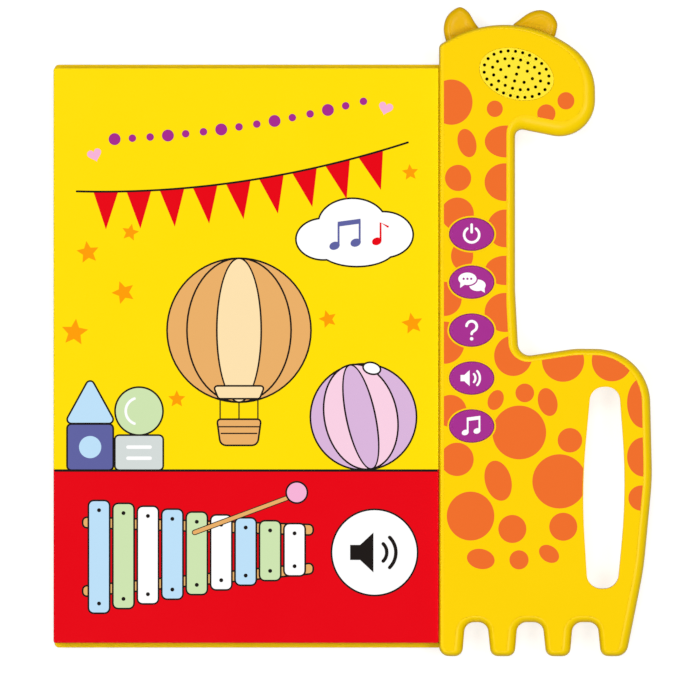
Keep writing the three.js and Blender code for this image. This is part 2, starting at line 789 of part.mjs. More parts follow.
function battery(index) {
  const y = bayFoot + slide + batteryPitch * (index + 0.5);
  const turnedRound = index % 2 === 1;
  const length = batteryLength;
  const geometry = new THREE.LatheGeometry([
    [0, 0], [batteryRadius - 0.6, 0], [batteryRadius, 0.6], [batteryRadius, length - 0.6],
    [batteryRadius - 0.6, length], [nubRadius, length], [nubRadius, length + nubLength],
    [0, length + nubLength],
  ].map(([radius, height]) => new THREE.Vector2(radius, height)), 10);
  geometry.rotateZ(turnedRound ? Math.PI / 2 : -Math.PI / 2);
  const left = bayLeft + contactThickness + slide;
  const right = bayRight - contactThickness - slide;
  geometry.translate(turnedRound ? right - springLength : left + springLength, y, batteryAxis);
  return solidOf(geometry);
}

// A spring-steel plate at one end of the bay. Its springs press on the flat ends of the
// cells, and the plain places meet their nubs.
function contactPlate(side) {
  const face = side < 0 ? bayLeft + hair : bayRight - hair;
  const inner = face - side * contactThickness;
  const low = wall + slide;
  let plate = block(
    Math.min(face, inner), Math.max(face, inner), bayFoot + 1, bayHead - 1, low, bayTop - slide,
  );
  for (let index = 0; index < batteryCount; index += 1) {
    const springHere = (index % 2 === 0) === (side < 0);
    if (springHere) {
      const y = bayFoot + slide + batteryPitch * (index + 0.5);
      const geometry = new THREE.LatheGeometry([
        [0, 0], [3.6, 0], [3.6, 0.6], [2.8, 1], [3, 1.8], [1.8, springLength], [0, springLength],
      ].map(([radius, height]) => new THREE.Vector2(radius, height)), roundSegments);
      geometry.rotateZ((side * Math.PI) / 2);
      geometry.translate(inner + side * 0.05, y, batteryAxis);
      plate = plate.add(solidOf(geometry));
    }
  }
  return plate;
}

// The board pages are one block: a shallow groove marks each leaf from the next.
function pageBlock() {
  const rings = [];
  const left = -bookReach + boardThickness + 0.3;
  const right = -bookGap - square;
  const edge = (inset) => [
    new THREE.Vector2(left, bookFoot + square + inset),
    new THREE.Vector2(right - inset, bookFoot + square + inset),
    new THREE.Vector2(right - inset, bookHead - square - inset),
    new THREE.Vector2(left, bookHead - square - inset),
  ];
  let z = pagesBottom;
  for (let leaf = 0; leaf < leafCount; leaf += 1) {
    rings.push({ loop: edge(0), z }, { loop: edge(0), z: z + leafThickness });
    z += leafThickness;
    if (leaf + 1 < leafCount) {
      rings.push({ loop: edge(grooveDepth), z }, { loop: edge(grooveDepth), z: z + leafGroove });
      z += leafGroove;
    }
  }
  return loft(rings);
}

// Print on the cover: simple toys on a yellow ground above a red floor.
function field(loop, material) {
  return { solid: prism(loop, coverTop - inkDepth, coverTop + 1), material };
}

function polygon(points) {
  return points.map(([x, y]) => new THREE.Vector2(x, y));
}

function box(left, foot, width, height) {
  return polygon([[left, foot], [left + width, foot], [left + width, foot + height], [left, foot + height]]);
}

function star(x, y, size, turnDegrees) {
  return Array.from({ length: 10 }, (_, tip) => {
    const reach = tip % 2 === 0 ? size : size * 0.45;
    const angle = (tip * Math.PI) / 5 + THREE.MathUtils.degToRad(turnDegrees);
    return new THREE.Vector2(x - reach * Math.sin(angle), y + reach * Math.cos(angle));
  });
}

const floorLine = 80.2;
const lineWidth = 0.6;

// Red pennants on a string that hangs across the head of the cover
function bunting() {
  const flagCount = 9;
  const flagDrop = 17;
  const string = (share) => new THREE.Vector2(
    -163 + 149 * share, 199 + 22 * share + 26 * (share - 0.5) ** 2,
  );
  return Array.from({ length: flagCount }, (_, flag) => {
    const start = string((2 + 4 * flag) / 40);
    const end = string((5 + 4 * flag) / 40);
    const drop = new THREE.Vector2(end.y - start.y, start.x - end.x).setLength(flagDrop);
    const tip = start.clone().add(end).divideScalar(2).add(drop);
    return field([start, tip, end], coverRed);
  });
}

function balloon(x, y, radius) {
  const mouth = y - 0.92 * radius;
  const skirt = [[x - 9, mouth - 1], [x + 9, mouth - 1], [x + 11, mouth + 4], [x - 11, mouth + 4]];
  const basket = [[x - 8, mouth - 22], [x + 8, mouth - 22], [x + 9.5, mouth - 11], [x - 9.5, mouth - 11]];
  return [
    field(ellipse(x, y, radius * 0.3, radius * 0.99, 0, 14), inkCream),
    field(ellipse(x, y, radius, radius, 0, 20), inkTan),
    field(polygon(skirt), inkCream),
    field(polygon(basket), inkTan),
  ];
}

// Bars from long to short
function xylophone() {
  const barCount = 9;
  const barPitch = 11;
  const barWidth = 8.8;
  return Array.from({ length: barCount }, (_, bar) => {
    const half = 25 - 1.7 * bar;
    const colour = [inkBlue, inkGreen, inkWhite][bar % 3];
    return field(box(-157.4 + barPitch * bar, 41 + 0.4 * bar - half, barWidth, 2 * half), colour);
  });
}

// Stars: place, reach and turn in degrees
const stars = [
  [-158, 178, 5.2, 8], [-139, 187, 4, -12], [-142, 160, 5.4, 20], [-13, 214, 3.8, 5],
  [-164, 142, 6.2, -6], [-12, 146, 5, 10], [-50, 148, 4.2, 16], [-118, 112, 4, 0],
];

function coverPrint() {
  const left = -bookReach - 1;
  const width = bookReach + 2;
  return [
    ...bunting(),
    ...stars.map(([x, y, size, turn]) => field(star(x, y, size, turn), inkStar)),
    field(ellipse(-39, 186, 27, 14.5, 0, 18), inkWhite),
    ...balloon(-90, 143, 32),
    field(ellipse(-35, 104, 6, 23.4, 12, 12), inkLilac),
    field(ellipse(-35, 104, 16, 23.4, 12, 16), inkPink),
    field(ellipse(-34, 104, 23.5, 23.5, 0, 22), inkLilac),
    field(box(-167, floorLine + 0.1, 20, 20), inkIndigo),
    field(polygon([[-168, 101.2], [-146, 101.2], [-157, 121.2]]), inkBlue),
    field(box(-145.5, floorLine + 0.1, 21, 15), inkGrey),
    field(ellipse(-135, 106.4, 10.4, 10.4, 0, 16), inkGreen),
    ...xylophone(),
    field(ellipse(-29, 43, 19, 19, 0, 20), inkWhite),
    field(box(left, floorLine - lineWidth, width, lineWidth), inkBlack),
    field(box(left, 0, width, floorLine - lineWidth), coverRed),
  ];
}

function frontBoard() {
  const board = block(-bookReach, -bookGap, bookFoot, bookHead, coverBottom, coverTop);
  return printOn(board, coverPrint());
}

// The sensor sheet's ribbon runs through a window in the wall and up to the circuit board.
const ribbonFoot = circuitFoot + 8;
const ribbonHead = ribbonFoot + 14;
const ribbonThickness = 0.3;
const ribbonWindow = trayFloor + 1.2;

function sensorSheet() {
  return block(
    -trayReach + 2, -bookGap - 1.5, bookFoot + 0.4, bookTop, sensorBottom, sensorTop,
  );
}

function sensorRibbon() {
  const start = -bookGap - 1.5 + slide;
  const bend = circuitLeft + 8;
  const low = trayFloor + 0.4;
  const lying = block(start, bend, ribbonFoot, ribbonHead, low, low + ribbonThickness);
  const rising = block(
    bend - ribbonThickness, bend, ribbonFoot, ribbonHead, low, circuitBottom - hair,
  );
  return lying.add(rising);
}

// Leads inside the housing, laid from solder point to solder point
const leadRadius = 0.7;
const leadStep = 6;
const leadHeight = 6;
const leadDrop = 1.2;

function lead(points) {
  const path = new THREE.CatmullRomCurve3(points.map(([x, y, z]) => new THREE.Vector3(x, y, z)));
  const section = new THREE.Shape(ellipse(0, 0, leadRadius, leadRadius, 0, 5));
  return solidOf(new THREE.ExtrudeGeometry(section, { steps: 10, bevelEnabled: false, extrudePath: path }));
}

function buildBook() {
  const front = frontBoard();
  addMesh("front_board", front.solid, coverYellow, front.fields);
  addMesh("front_endpaper", block(
    -bookReach + square, -bookGap - square, bookFoot + square, bookHead - square,
    coverBottom - pasteThickness, coverBottom - hair,
  ), paperWhite);
  addMesh("spine_strip", block(
    -bookReach, -bookReach + boardThickness, bookFoot, bookTop, backBottom, pagesTop,
  ), coverYellow);
  addMesh("back_board", block(
    -bookReach + boardThickness + 0.3, -bookGap, bookFoot, bookTop, backBottom, backTop,
  ), coverYellow);
  addMesh("page_block", pageBlock(), paperWhite);
  addMesh("sensor_sheet", sensorSheet(), sensorFilm);
  addMesh("sensor_ribbon", sensorRibbon(), sensorFilm);
}

function buildHousing() {
  addMesh("rear_shell", rearShell(), shellYellow);
  addMesh("front_shell", frontShell(), shellYellow);
  const film = faceFilm();
  addMesh("face_film", film.solid, filmYellow, film.fields);
  addMesh("speaker_grille", grille(), grilleYellow);
  addMesh("ear_left", earPiece(leftEar), earGold);
  addMesh("ear_right", earPiece(rightEar), earGold);
  bosses.forEach(([x, y], index) => {
    addMesh(`housing_screw_${index + 1}`, screw(x, y, headSink, headDepth, faceInside - 2), steel);
  });
  addMesh("battery_door", batteryDoor(), shellYellow);
  addMesh("door_screw", screw(doorScrewX, doorScrewY, 0.1, 0.7, partingHeight - 3), steel);
}

function buildElectronics() {
  buttonHeights.forEach((y, index) => {
    addMesh(buttonNames[index], buttonCap(y), buttonPurple);
  });
  addMesh("keypad", keypad(), rubberGrey);
  addMesh("circuit_board", circuitBoard(), circuitGreen);
  const chipY = circuitFoot + 34;
  const chipTop = circuitBottom - hair;
  addMesh("sound_chip", block(
    buttonPlace + 3, buttonPlace + 3 + chipSize, chipY, chipY + chipSize, chipTop - chipThickness, chipTop,
  ), chipBlack);
  addMesh("speaker_frame", speakerFrame(), steel);
  addMesh("speaker_cone", speakerCone(), coneBlack);
  addMesh("speaker_magnet", speakerMagnet(), steel);
  for (let index = 0; index < batteryCount; index += 1) {
    addMesh(`battery_${index + 1}`, battery(index), cellGreen);
  }
  addMesh("contact_plate_left", contactPlate(-1), steel);
  addMesh("contact_plate_right", contactPlate(1), steel);
  const speakerTag = speakerY - speakerRadius + 2 * speakerRim;
  const bayTag = bayHead + bayWall + 2 * leadRadius;
  addMesh("speaker_lead", lead([
    [speakerX - leadStep, speakerTag, basketBottom - leadDrop],
    [speakerX - 2 * leadStep, (speakerTag + circuitHead) / 2, leadHeight],
    [circuitMiddle, circuitHead + leadStep, leadHeight],
    [circuitMiddle, circuitHead - leadStep, circuitBottom - leadDrop],
  ]), leadRed);
  addMesh("battery_lead", lead([
    [bayLeft + leadStep, bayTag, bayTop],
    [bayLeft + 2 * leadStep, (bayTag + circuitFoot) / 2, leadHeight],
    [circuitMiddle, circuitFoot - leadStep, leadHeight],
    [circuitMiddle, circuitFoot + leadStep, circuitBottom - leadDrop],
  ]), leadRed);
}

buildBook();
buildHousing();
buildElectronics();

// The part stands on the middle of its underside.
const bounds = new THREE.Box3().setFromObject(model);
const middle = bounds.getCenter(new THREE.Vector3());
model.position.set(-middle.x, -middle.y, -bounds.min.z);

export default model;
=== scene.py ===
# %% [markdown]
# # A sound book with a giraffe along its side
# A hardcover book lies in a thin yellow tray, and a flat plastic giraffe that holds the
# buttons, the loudspeaker and a hand slot runs along its right side. The working model
# gives every size. Here each visible piece gets its fine shape and its finish.

# %% Load the working model
import math

import bmesh
import bpy
from mathutils import Matrix, Vector
from mathutils.geometry import delaunay_2d_cdt


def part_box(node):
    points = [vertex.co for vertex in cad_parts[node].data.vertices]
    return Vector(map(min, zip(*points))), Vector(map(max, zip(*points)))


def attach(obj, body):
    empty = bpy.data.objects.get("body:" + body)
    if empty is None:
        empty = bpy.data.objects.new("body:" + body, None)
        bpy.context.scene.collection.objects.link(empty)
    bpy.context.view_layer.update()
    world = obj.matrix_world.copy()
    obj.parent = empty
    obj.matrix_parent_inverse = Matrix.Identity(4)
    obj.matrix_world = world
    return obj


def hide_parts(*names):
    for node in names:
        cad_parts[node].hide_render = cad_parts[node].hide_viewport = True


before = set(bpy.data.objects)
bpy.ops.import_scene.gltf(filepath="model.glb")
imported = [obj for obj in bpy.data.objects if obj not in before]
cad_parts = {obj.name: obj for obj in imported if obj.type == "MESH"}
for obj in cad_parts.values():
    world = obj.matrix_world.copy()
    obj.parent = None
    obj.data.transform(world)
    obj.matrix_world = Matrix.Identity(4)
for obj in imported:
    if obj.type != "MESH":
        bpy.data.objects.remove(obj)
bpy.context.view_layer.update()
print("working model loaded:", len(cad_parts), "nodes")

# %% [markdown]
# ## Units and places
# Blender counts in metres, but a small moulding is easier to draw in millimetres. Shapes
# are measured from the seam between book and giraffe and from the foot of the tray. The
# cover board's corner in the model tells where that is, so one shift brings every shape
# home. Heights are read from the model's boxes.

# %% Millimetres and the shift home
MM = 0.001
COVER_REACH = 173.5
COVER_FOOT = 2.3
board_low, board_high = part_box("front_board")
shell_low, shell_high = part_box("front_shell")
film_low, film_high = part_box("face_film")
SHIFT = Vector((board_low[0] + COVER_REACH * MM, board_low[1] - COVER_FOOT * MM, 0.0))
BOARD_BOTTOM = board_low[2] / MM
COVER_TOP = board_high[2] / MM
PARTING = shell_low[2] / MM
FACE = shell_high[2] / MM
FILM_BOTTOM = film_low[2] / MM
FILM_TOP = film_high[2] / MM


def home(point, z):
    """A point of the drawing, as a place in the model."""
    return (point.x * MM + SHIFT.x, point.y * MM + SHIFT.y, z * MM)


def to_drawing(x, y):
    return ((x - SHIFT.x) / MM, (y - SHIFT.y) / MM)


def middle_of(node):
    """The middle of one of the model's pieces, on the drawing."""
    low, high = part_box(node)
    return to_drawing((low[0] + high[0]) / 2, (low[1] + high[1]) / 2)


print("face at", round(FACE, 2), "mm, cover at", round(COVER_TOP, 2), "mm")

# %% [markdown]
# ## Shader expressions
# A material can be wired node by node, but it is easier to read as a formula. This small
# class wraps a node's output, and each operator adds the Math node that does it. Python
# asks for the turned-round form when a plain number comes first, so 1 - mask works too.

# %% The socket class
def add_node(tree, kind, settings, sockets):
    """Adds a node. Its settings come first, then the values or links of its sockets."""
    made = tree.nodes.new(kind)
    for key, value in settings.items():
        setattr(made, key, value)
    for key, value in sockets.items():
        if isinstance(value, Socket):
            value = value.output
        if isinstance(value, bpy.types.NodeSocket):
            tree.links.new(value, made.inputs[key])
        else:
            made.inputs[key].default_value = value
    return made


class Socket:
    def __init__(self, paint, output):
        self.paint = paint
        self.output = output

    def math(self, operation, *values):
        return self.paint.node("ShaderNodeMath", {"operation": operation}, dict(enumerate(values)))

    def __add__(self, other):
        return self.math("ADD", self, other)

    __radd__ = __add__

    def __mul__(self, other):
        return self.math("MULTIPLY", self, other)

    __rmul__ = __mul__

    def __sub__(self, other):
        return self.math("SUBTRACT", self, other)

    def __rsub__(self, other):
        return self.math("SUBTRACT", other, self)

    def __lt__(self, other):
        return self.math("LESS_THAN", self, other)

    def sine(self):
        return self.math("SINE", self)


print("socket class ready")

# %% [markdown]
# A Mix node for colours has many sockets of the same name, so its three that count here,
# the factor and the two colours, are picked by number. All patterns read Object
# coordinates, which stay with the piece from every side and in every pose.

# %% The paint class
MIX_SOCKETS = (0, 6, 7)
MIX_RESULT = 2


class Paint:
    """One material, with its Principled shader, and methods that add nodes to it."""

    def __init__(self, name, colour, roughness, **settings):
        self.material = bpy.data.materials.new(name)
        self.material.use_nodes = True
        self.material.diffuse_color = (*colour, 1.0)
        self.tree = self.material.node_tree
        self.shader = self.tree.nodes["Principled BSDF"]
        self.set("Base Color", (*colour, 1.0))
        self.set("Roughness", roughness)
        for socket, value in settings.items():
            self.set(socket.replace("_", " "), value)

    def set(self, socket, value):
        if isinstance(value, Socket):
            self.tree.links.new(value.output, self.shader.inputs[socket])
        else:
            self.shader.inputs[socket].default_value = value

    def node(self, kind, settings, sockets, out=0):
        return Socket(self, add_node(self.tree, kind, settings, sockets).outputs[out])

    def here(self):
        return self.node("ShaderNodeTexCoord", {}, {}, "Object")

    def place(self, axis):
        return self.node("ShaderNodeSeparateXYZ", {}, {0: self.here()}, axis)

    def noise(self, scale, detail=3.0):
        sockets = {"Vector": self.here(), "Scale": scale, "Detail": detail}
        return self.node("ShaderNodeTexNoise", {}, sockets)

    def mix(self, mask, *colours):
        values = [mask] + [one if isinstance(one, Socket) else (*one, 1.0) for one in colours]
        return self.node("ShaderNodeMix", {"data_type": "RGBA"}, dict(zip(MIX_SOCKETS, values)), MIX_RESULT)

    def bump(self, height, strength, distance):
        sockets = {"Strength": strength, "Distance": distance, "Height": height}
        self.set("Normal", self.node("ShaderNodeBump", {}, sockets))


def light_value(part):
    """One channel of a screen's colour, as the light that it stands for."""
    return part / 12.92 if part <= 0.04045 else ((part + 0.055) / 1.055) ** 2.4


def rgb(code):
    """A colour as it is written on a screen, turned into the light values a shader needs."""
    return tuple(light_value(int(code[start:start + 2], 16) / 255) for start in (0, 2, 4))


def shade(colour, factor):
    return tuple(min(1.0, part * factor) for part in colour)


print("paint class ready, white is", rgb("FFFFFF"))

# %% [markdown]
# ## Moulded plastics
# Moulded plastic is nearly smooth, but never perfect: its colour and gloss shift a little
# where the melt flowed, and a very low orange-peel waviness bends the reflections. One
# even colour would look like a drawing, so a wide noise stands for the flow and a fine one
# for the grain.

# %% Moulded plastics
GLOSS = 0.12
FLOW_SCALE = 38.0
GRAIN_SCALE = 1500.0
GRAIN_SHARE = 0.35
FLOW_SHADES = (0.965, 1.02)
FLOW_GLOSS = 0.08
WAVE_DEPTH = 0.001


def plastic(name, code, roughness, waviness):
    colour = rgb(code)
    paint = Paint(name, colour, roughness, Specular_IOR_Level=GLOSS)
    flow = paint.noise(FLOW_SCALE, 4.0)
    grain = paint.noise(GRAIN_SCALE, 2.0)
    paint.set("Base Color", paint.mix(flow, *[shade(colour, factor) for factor in FLOW_SHADES]))
    paint.set("Roughness", roughness - FLOW_GLOSS / 2 + FLOW_GLOSS * flow)
    paint.bump(grain * GRAIN_SHARE + flow, waviness, WAVE_DEPTH)
    return paint.material


PURPLE = "A52A8E"
SHELL = plastic("moulded_yellow", "FCD400", 0.3, 0.03)
GRILLE = plastic("grille_yellow", "FFE62E", 0.34, 0.03)
EAR = plastic("ear_gold", "E6B500", 0.3, 0.03)
CAP = plastic("button_purple", PURPLE, 0.32, 0.03)
RUBBER = plastic("keypad_silicone", "8D9296", 0.7, 0.05)
LAMINATE = plastic("circuit_green", "1F6B3A", 0.45, 0.02)
RESIN = plastic("chip_resin", "1A1A1C", 0.5, 0.05)
SENSOR = plastic("sensor_amber", "D9C9A0", 0.4, 0.02)
# The cone's dark olive is partly painted shade: seen through the grille's holes, it darkens them.
CONE = plastic("speaker_cone", "3A3216", 0.85, 0.08)
CELL = plastic("cell_jacket", "3C7D4A", 0.3, 0.02)
LEAD = plastic("lead_red", "B02020", 0.4, 0.02)
print("plastics mixed, the shell is", SHELL.name)

# %% [markdown]
# ## Printed inks
# The film on the giraffe and the cover are printed in flat inks under a thin laminate. A
# picture could carry the print, but inks as materials stay sharp at any distance. Fine
# dots and a slow shift of tone keep them from looking painted, and the tooth of the paper
# shows faintly in the gloss.

# %% Printed inks
COVER_YELLOW = "FFDE00"
COVER_RED = "E60012"
INK_GLOSS = 0.06
INK_SHADES = (0.975, 1.02)
TONE_GLOSS = 0.06
DOT_SCALE = 2600.0
TOOTH_SCALE = 900.0
TOOTH_DEPTH = 0.0004


def paper_tooth(paint, strength):
    paint.bump(paint.noise(TOOTH_SCALE, 5.0), strength, TOOTH_DEPTH)


def ink(name, code, roughness=0.27, tooth=0.05):
    colour = rgb(code)
    paint = Paint(
        name, colour, roughness, Coat_Weight=0.02, Coat_Roughness=0.1, Specular_IOR_Level=INK_GLOSS,
    )
    dots = paint.noise(DOT_SCALE, 2.0)
    tone = paint.noise(30.0)
    shades = [shade(colour, factor) for factor in INK_SHADES]
    paint.set("Base Color", paint.mix(dots * 0.5 + tone * 0.5, *shades))
    paint.set("Roughness", roughness - TONE_GLOSS / 2 + TONE_GLOSS * tone)
    paper_tooth(paint, tooth)
    return paint.material


FILM = ink("film_yellow", "FCD200", 0.26, 0.03)
SPOT = ink("film_orange", "EE6E2A", 0.26, 0.03)
SIGN = ink("sign_white", "FFFFFF", 0.3, 0.02)
INKS = {
    "yellow": ink("cover_yellow", COVER_YELLOW),
    "red": ink("cover_red", COVER_RED),
    "black": ink("line_black", "1C1614"),
    "white": ink("paper_white", "FFFFFF"),
    "tan": ink("tan", "E8AE68"),
    "cream": ink("cream", "FBE0AE"),
    "pink": ink("pink", "F7CFE2"),
    "lilac": ink("lilac", "D8B4DA"),
    "grey": ink("pale_grey", "D3DAD8"),
    "indigo": ink("indigo", "5F62A0"),
    "blue": ink("pale_blue", "BCDFF7"),
    "green": ink("pale_green", "CDE3B0"),
    "orange": ink("star_orange", "FF9C00"),
    "purple": ink("purple", PURPLE),
    "rose": ink("rose", "F5B2D6"),
}
print("inks mixed:", len(INKS) + 3)


# %% [markdown]
# ## Card and steel
# The cover's paper is wrapped round the board's edge, so its colours run over the edge too:
# red below the floor line and yellow above it. One comparison with the height on the cover
# does that. Board pages show a pale core at their cut edges, with fine fibres along each
# leaf, and turned steel gets streaks in its gloss.

# %% Card, board edges and steel
FLOOR_LINE = 80.4
PAGE_WHITE = "F6F3EA"
LEAF_STREAKS = 9000.0


def yellow_wrap(name, darker, tooth):
    colour = rgb(COVER_YELLOW)
    paint = Paint(name, colour, 0.3, Specular_IOR_Level=GLOSS)
    tone = paint.noise(40.0)
    paper_tooth(paint, tooth)
    return paint, tone, paint.mix(tone, shade(colour, darker), colour)


def wrapped_cover():
    paint, tone, yellow = yellow_wrap("cover_wrap", 0.96, 0.06)
    below = paint.place("Y") < SHIFT.y + FLOOR_LINE * MM
    paint.set("Base Color", paint.mix(below, yellow, rgb(COVER_RED)))
    paint.set("Roughness", 0.27 + 0.06 * tone)
    return paint.material


def plain_wrap():
    paint, _, yellow = yellow_wrap("spine_wrap", 0.94, 0.08)
    paint.set("Base Color", yellow)
    return paint.material


def leaf_card():
    paint = Paint("leaf_card", rgb(PAGE_WHITE), 0.7)
    height = paint.place("Z")
    streak = (height * LEAF_STREAKS + paint.noise(120.0) * 3.0).sine() * 0.5 + 0.5
    fibre = paint.noise(1400.0, 5.0)
    paint.set("Base Color", paint.mix(streak * 0.4 + fibre * 0.3, rgb(PAGE_WHITE), rgb("DDD5C3")))
    paint.bump(streak * 0.6 + fibre, 0.15, 0.0003)
    return paint.material


def brushed_steel():
    paint = Paint("screw_steel", rgb("B8BABD"), 0.34, Metallic=1.0)
    streak = paint.noise(600.0, 6.0)
    paint.set("Roughness", 0.26 + 0.18 * streak)
    paint.bump(streak, 0.05, 0.0003)
    return paint.material


WRAP = wrapped_cover()
SPINE = plain_wrap()
CARD = leaf_card()
STEEL = brushed_steel()
print("card and steel ready, the wrap turns red below", FLOOR_LINE, "mm")

# %% [markdown]
# ## Outlines
# A moulding's outline is made of straight sides and arcs. It is drawn as a ring of corners,
# each with its own radius. Moving the sides inwards while the arcs shrink or grow gives a
# parallel outline with the same number of points, so that outlines at different heights
# can be joined into a wall with a round edge. Each side may have its own distance, since
# the real edge is narrow at the crown and wide at the jaw.

# %% Parallel outlines with round corners
FINE_CHORD = 0.02
SMALLEST_ARC = 0.05
ARC_ROOM = 0.98


def moved_sides(corners, insets):
    """Each side as a point and a direction, moved inwards by its own inset."""
    sides = []
    for (x, y, _), (next_x, next_y, _), inset in zip(corners, corners[1:] + corners[:1], insets):
        along = Vector((next_x - x, next_y - y)).normalized()
        sides.append((Vector((x, y)) + Vector((-along.y, along.x)) * inset, along))
    return sides


def rounded(corners, inset=0.0, chord=FINE_CHORD):
    """The outline moved inwards by inset, which is one number or one number for each side."""
    count = len(corners)
    insets = inset if isinstance(inset, list) else [inset] * count
    sides = moved_sides(corners, insets)
    bends = []
    for index, (_, _, radius) in enumerate(corners):
        before_from, before = sides[index - 1]
        after_from, after = sides[index]
        cross = before.x * after.y - before.y * after.x
        gap = after_from - before_from
        corner = before_from + before * ((gap.x * after.y - gap.y * after.x) / cross)
        angle = math.atan2(cross, before.dot(after))
        side = math.copysign(1.0, angle)
        arc = max(radius - side * (insets[index - 1] + insets[index]) / 2, SMALLEST_ARC)
        bends.append((corner, before, angle, side, arc, arc * math.tan(abs(angle) / 2)))
    loop = []
    for index, (corner, before, angle, side, full_arc, reach) in enumerate(bends):
        arc = full_arc
        for neighbour in (bends[index - 1], bends[(index + 1) % count]):
            room = (corner - neighbour[0]).length / (reach + neighbour[-1])
            arc = min(arc, full_arc * room * ARC_ROOM)
        step_angle = 2 * math.acos(1 - min(chord / corners[index][2], 0.5))
        steps = max(2, math.ceil(abs(angle) / step_angle))
        start = corner - before * (arc * math.tan(abs(angle) / 2))
        centre = start + Vector((-before.y, before.x)) * (side * arc)
        for step in range(steps + 1):
            loop.append(centre + Matrix.Rotation(angle * step / steps, 2) @ (start - centre))
    return loop


def oval(x, y, half_width, half_height, turn_degrees=0.0, segments=64):
    turn = Matrix.Rotation(math.radians(turn_degrees), 2)
    loop = []
    for step in range(segments):
        angle = 2 * math.pi * step / segments
        point = Vector((half_width * math.cos(angle), half_height * math.sin(angle)))
        loop.append(Vector((x, y)) + turn @ point)
    return loop


def disc(x, y, radius, segments=64):
    return oval(x, y, radius, radius, 0.0, segments)


def polygon(*points):
    return [Vector(point) for point in points]


def oblong(left, right, foot, head):
    return polygon((left, foot), (right, foot), (right, head), (left, head))


def oblong_corners(left, right, foot, head, radius):
    return [(left, foot, radius), (right, foot, radius), (right, head, radius), (left, head, radius)]


print("a coin of 10 mm has", len(disc(0.0, 0.0, 5.0)), "points")

# %% [markdown]
# ## The giraffe's outline
# Seen from the front, the plastic module is a standing giraffe: four feet with notches
# between them, a rump, a back, a long neck and a head with a snout. The corners are
# measured in the photograph and go round against the clock from the first foot.

# %% The giraffe and its hand slot
FEET = [(0.0, 10.4), (23.3, 34.0), (48.2, 58.9), (72.9, 84.2)]
FOOT_DROP = 3.7
FOOT_RADIUS = 3.6
FIRST_RADIUS = 4.5
LAST_RADIUS = 5.4
NOTCH_HEIGHT = 11.6
NOTCH_RADIUS = 4.5
NOTCH_FLARE = 1.3
FLARE_SHARE = 1.2
BODY = [
    (92.0, 35.1, 135.0), (95.9, 75.6, 112.0), (94.5, 134.3, 24.5), (61.2, 134.7, 36.0),
    (35.8, 130.8, 5.4), (34.2, 161.1, 67.0), (34.2, 234.2, 3.2), (70.2, 226.8, 16.0),
    (70.2, 262.9, 24.8), (32.2, 290.5, 52.0), (0.0, 271.3, 2.4),
]


def giraffe():
    corners = []
    for index, (left, right) in enumerate(FEET):
        first = index == 0
        last = index + 1 == len(FEET)
        if not first:
            corners.append((left - NOTCH_FLARE * FLARE_SHARE, NOTCH_HEIGHT, NOTCH_RADIUS))
        corners.append((left, -FOOT_DROP, FIRST_RADIUS if first else FOOT_RADIUS))
        corners.append((right, -FOOT_DROP, LAST_RADIUS if last else FOOT_RADIUS))
        if not last:
            corners.append((right + NOTCH_FLARE, NOTCH_HEIGHT, NOTCH_RADIUS))
    return corners + BODY


OUTLINE = giraffe()
SLOT = [
    (66.9, 26.6, 6.6), (80.3, 26.6, 6.6), (84.5, 71.1, 280.0),
    (81.1, 117.5, 6.2), (68.4, 117.5, 6.2), (64.1, 71.1, 280.0),
]
print("outline points:", len(rounded(OUTLINE)))

# %% [markdown]
# The round edge of the real shell is not equally wide all round. Each side of the outline
# has its own width, listed in the order of the corners, and a share of all widths gives
# the outlines in between.

# %% The widths of the round edge
EDGE_DROP = 4.2
FOOT_WIDTHS = {"sole": 2.2, "right": 3.8, "notch": 2.8, "left": 2.4}
LAST_FOOT_WIDTH = 3.9
BODY_WIDTHS = {
    "rump": 3.8, "tail": 3.6, "back": 2.6, "shoulder": 2.6, "mane": 3.4, "neck": 3.2,
    "jaw": 6.5, "snout": 5.0, "brow": 2.8, "crown": 1.3, "seam": 1.0,
}
FEET_SIDES = list(FOOT_WIDTHS.values()) * (len(FEET) - 1) + [FOOT_WIDTHS["sole"], LAST_FOOT_WIDTH]
EDGE_WIDTHS = FEET_SIDES + list(BODY_WIDTHS.values())


def edge_loop(share):
    """The giraffe's outline moved inwards by a share of each side's own edge width."""
    return rounded(OUTLINE, [width * share for width in EDGE_WIDTHS])


print("sides with their own edge width:", len(EDGE_WIDTHS))

# %% [markdown]
# ## Mesh helpers
# A wall could be extruded and bevelled, but a bevel has one width and breaks where an edge
# turns tightly. A loft joins outlines into a closed skin instead. Booleans then cut it,
# and a weighted-normal pass keeps the wide flat face flat while the round edge stays
# smooth.

# %% Loft
def make_object(name, mesh, material):
    piece = bpy.data.objects.new(name, mesh)
    bpy.context.scene.collection.objects.link(piece)
    for one in material if isinstance(material, list) else [material]:
        mesh.materials.append(one)
    return piece


def to_mesh(name, form):
    mesh = bpy.data.meshes.new(name)
    form.to_mesh(mesh)
    form.free()
    return mesh


def inside_out(loop):
    area = sum(a.x * b.y - b.x * a.y for a, b in zip(loop, loop[1:] + loop[:1]))
    return area < 0


def fill(form, row, loop):
    """Covers a loop with triangles that keep inside it, also where it has deep bays."""
    order = list(range(len(loop)))
    if inside_out(loop):
        order.reverse()
    _, _, faces, sources, _, _ = delaunay_2d_cdt(loop, [], [order], 1, 1e-6)
    for face in faces:
        form.faces.new([row[sources[index][0]] for index in face])


def loft(name, rings, material=SHELL):
    """Closed skin between loops of equally many points: rings is a list of (loop, z)."""
    form = bmesh.new()
    rows = [[form.verts.new(home(point, z)) for point in loop] for loop, z in rings]
    for low, high in zip(rows, rows[1:]):
        for step in range(len(low)):
            follow = (step + 1) % len(low)
            form.faces.new((low[step], low[follow], high[follow], high[step]))
    for end in (0, -1):
        fill(form, rows[end], rings[end][0])
    bmesh.ops.recalc_face_normals(form, faces=form.faces)
    return make_object(name, to_mesh(name, form), material)


def prism(name, loop, bottom, top):
    return loft(name, [(loop, bottom), (loop, top)])


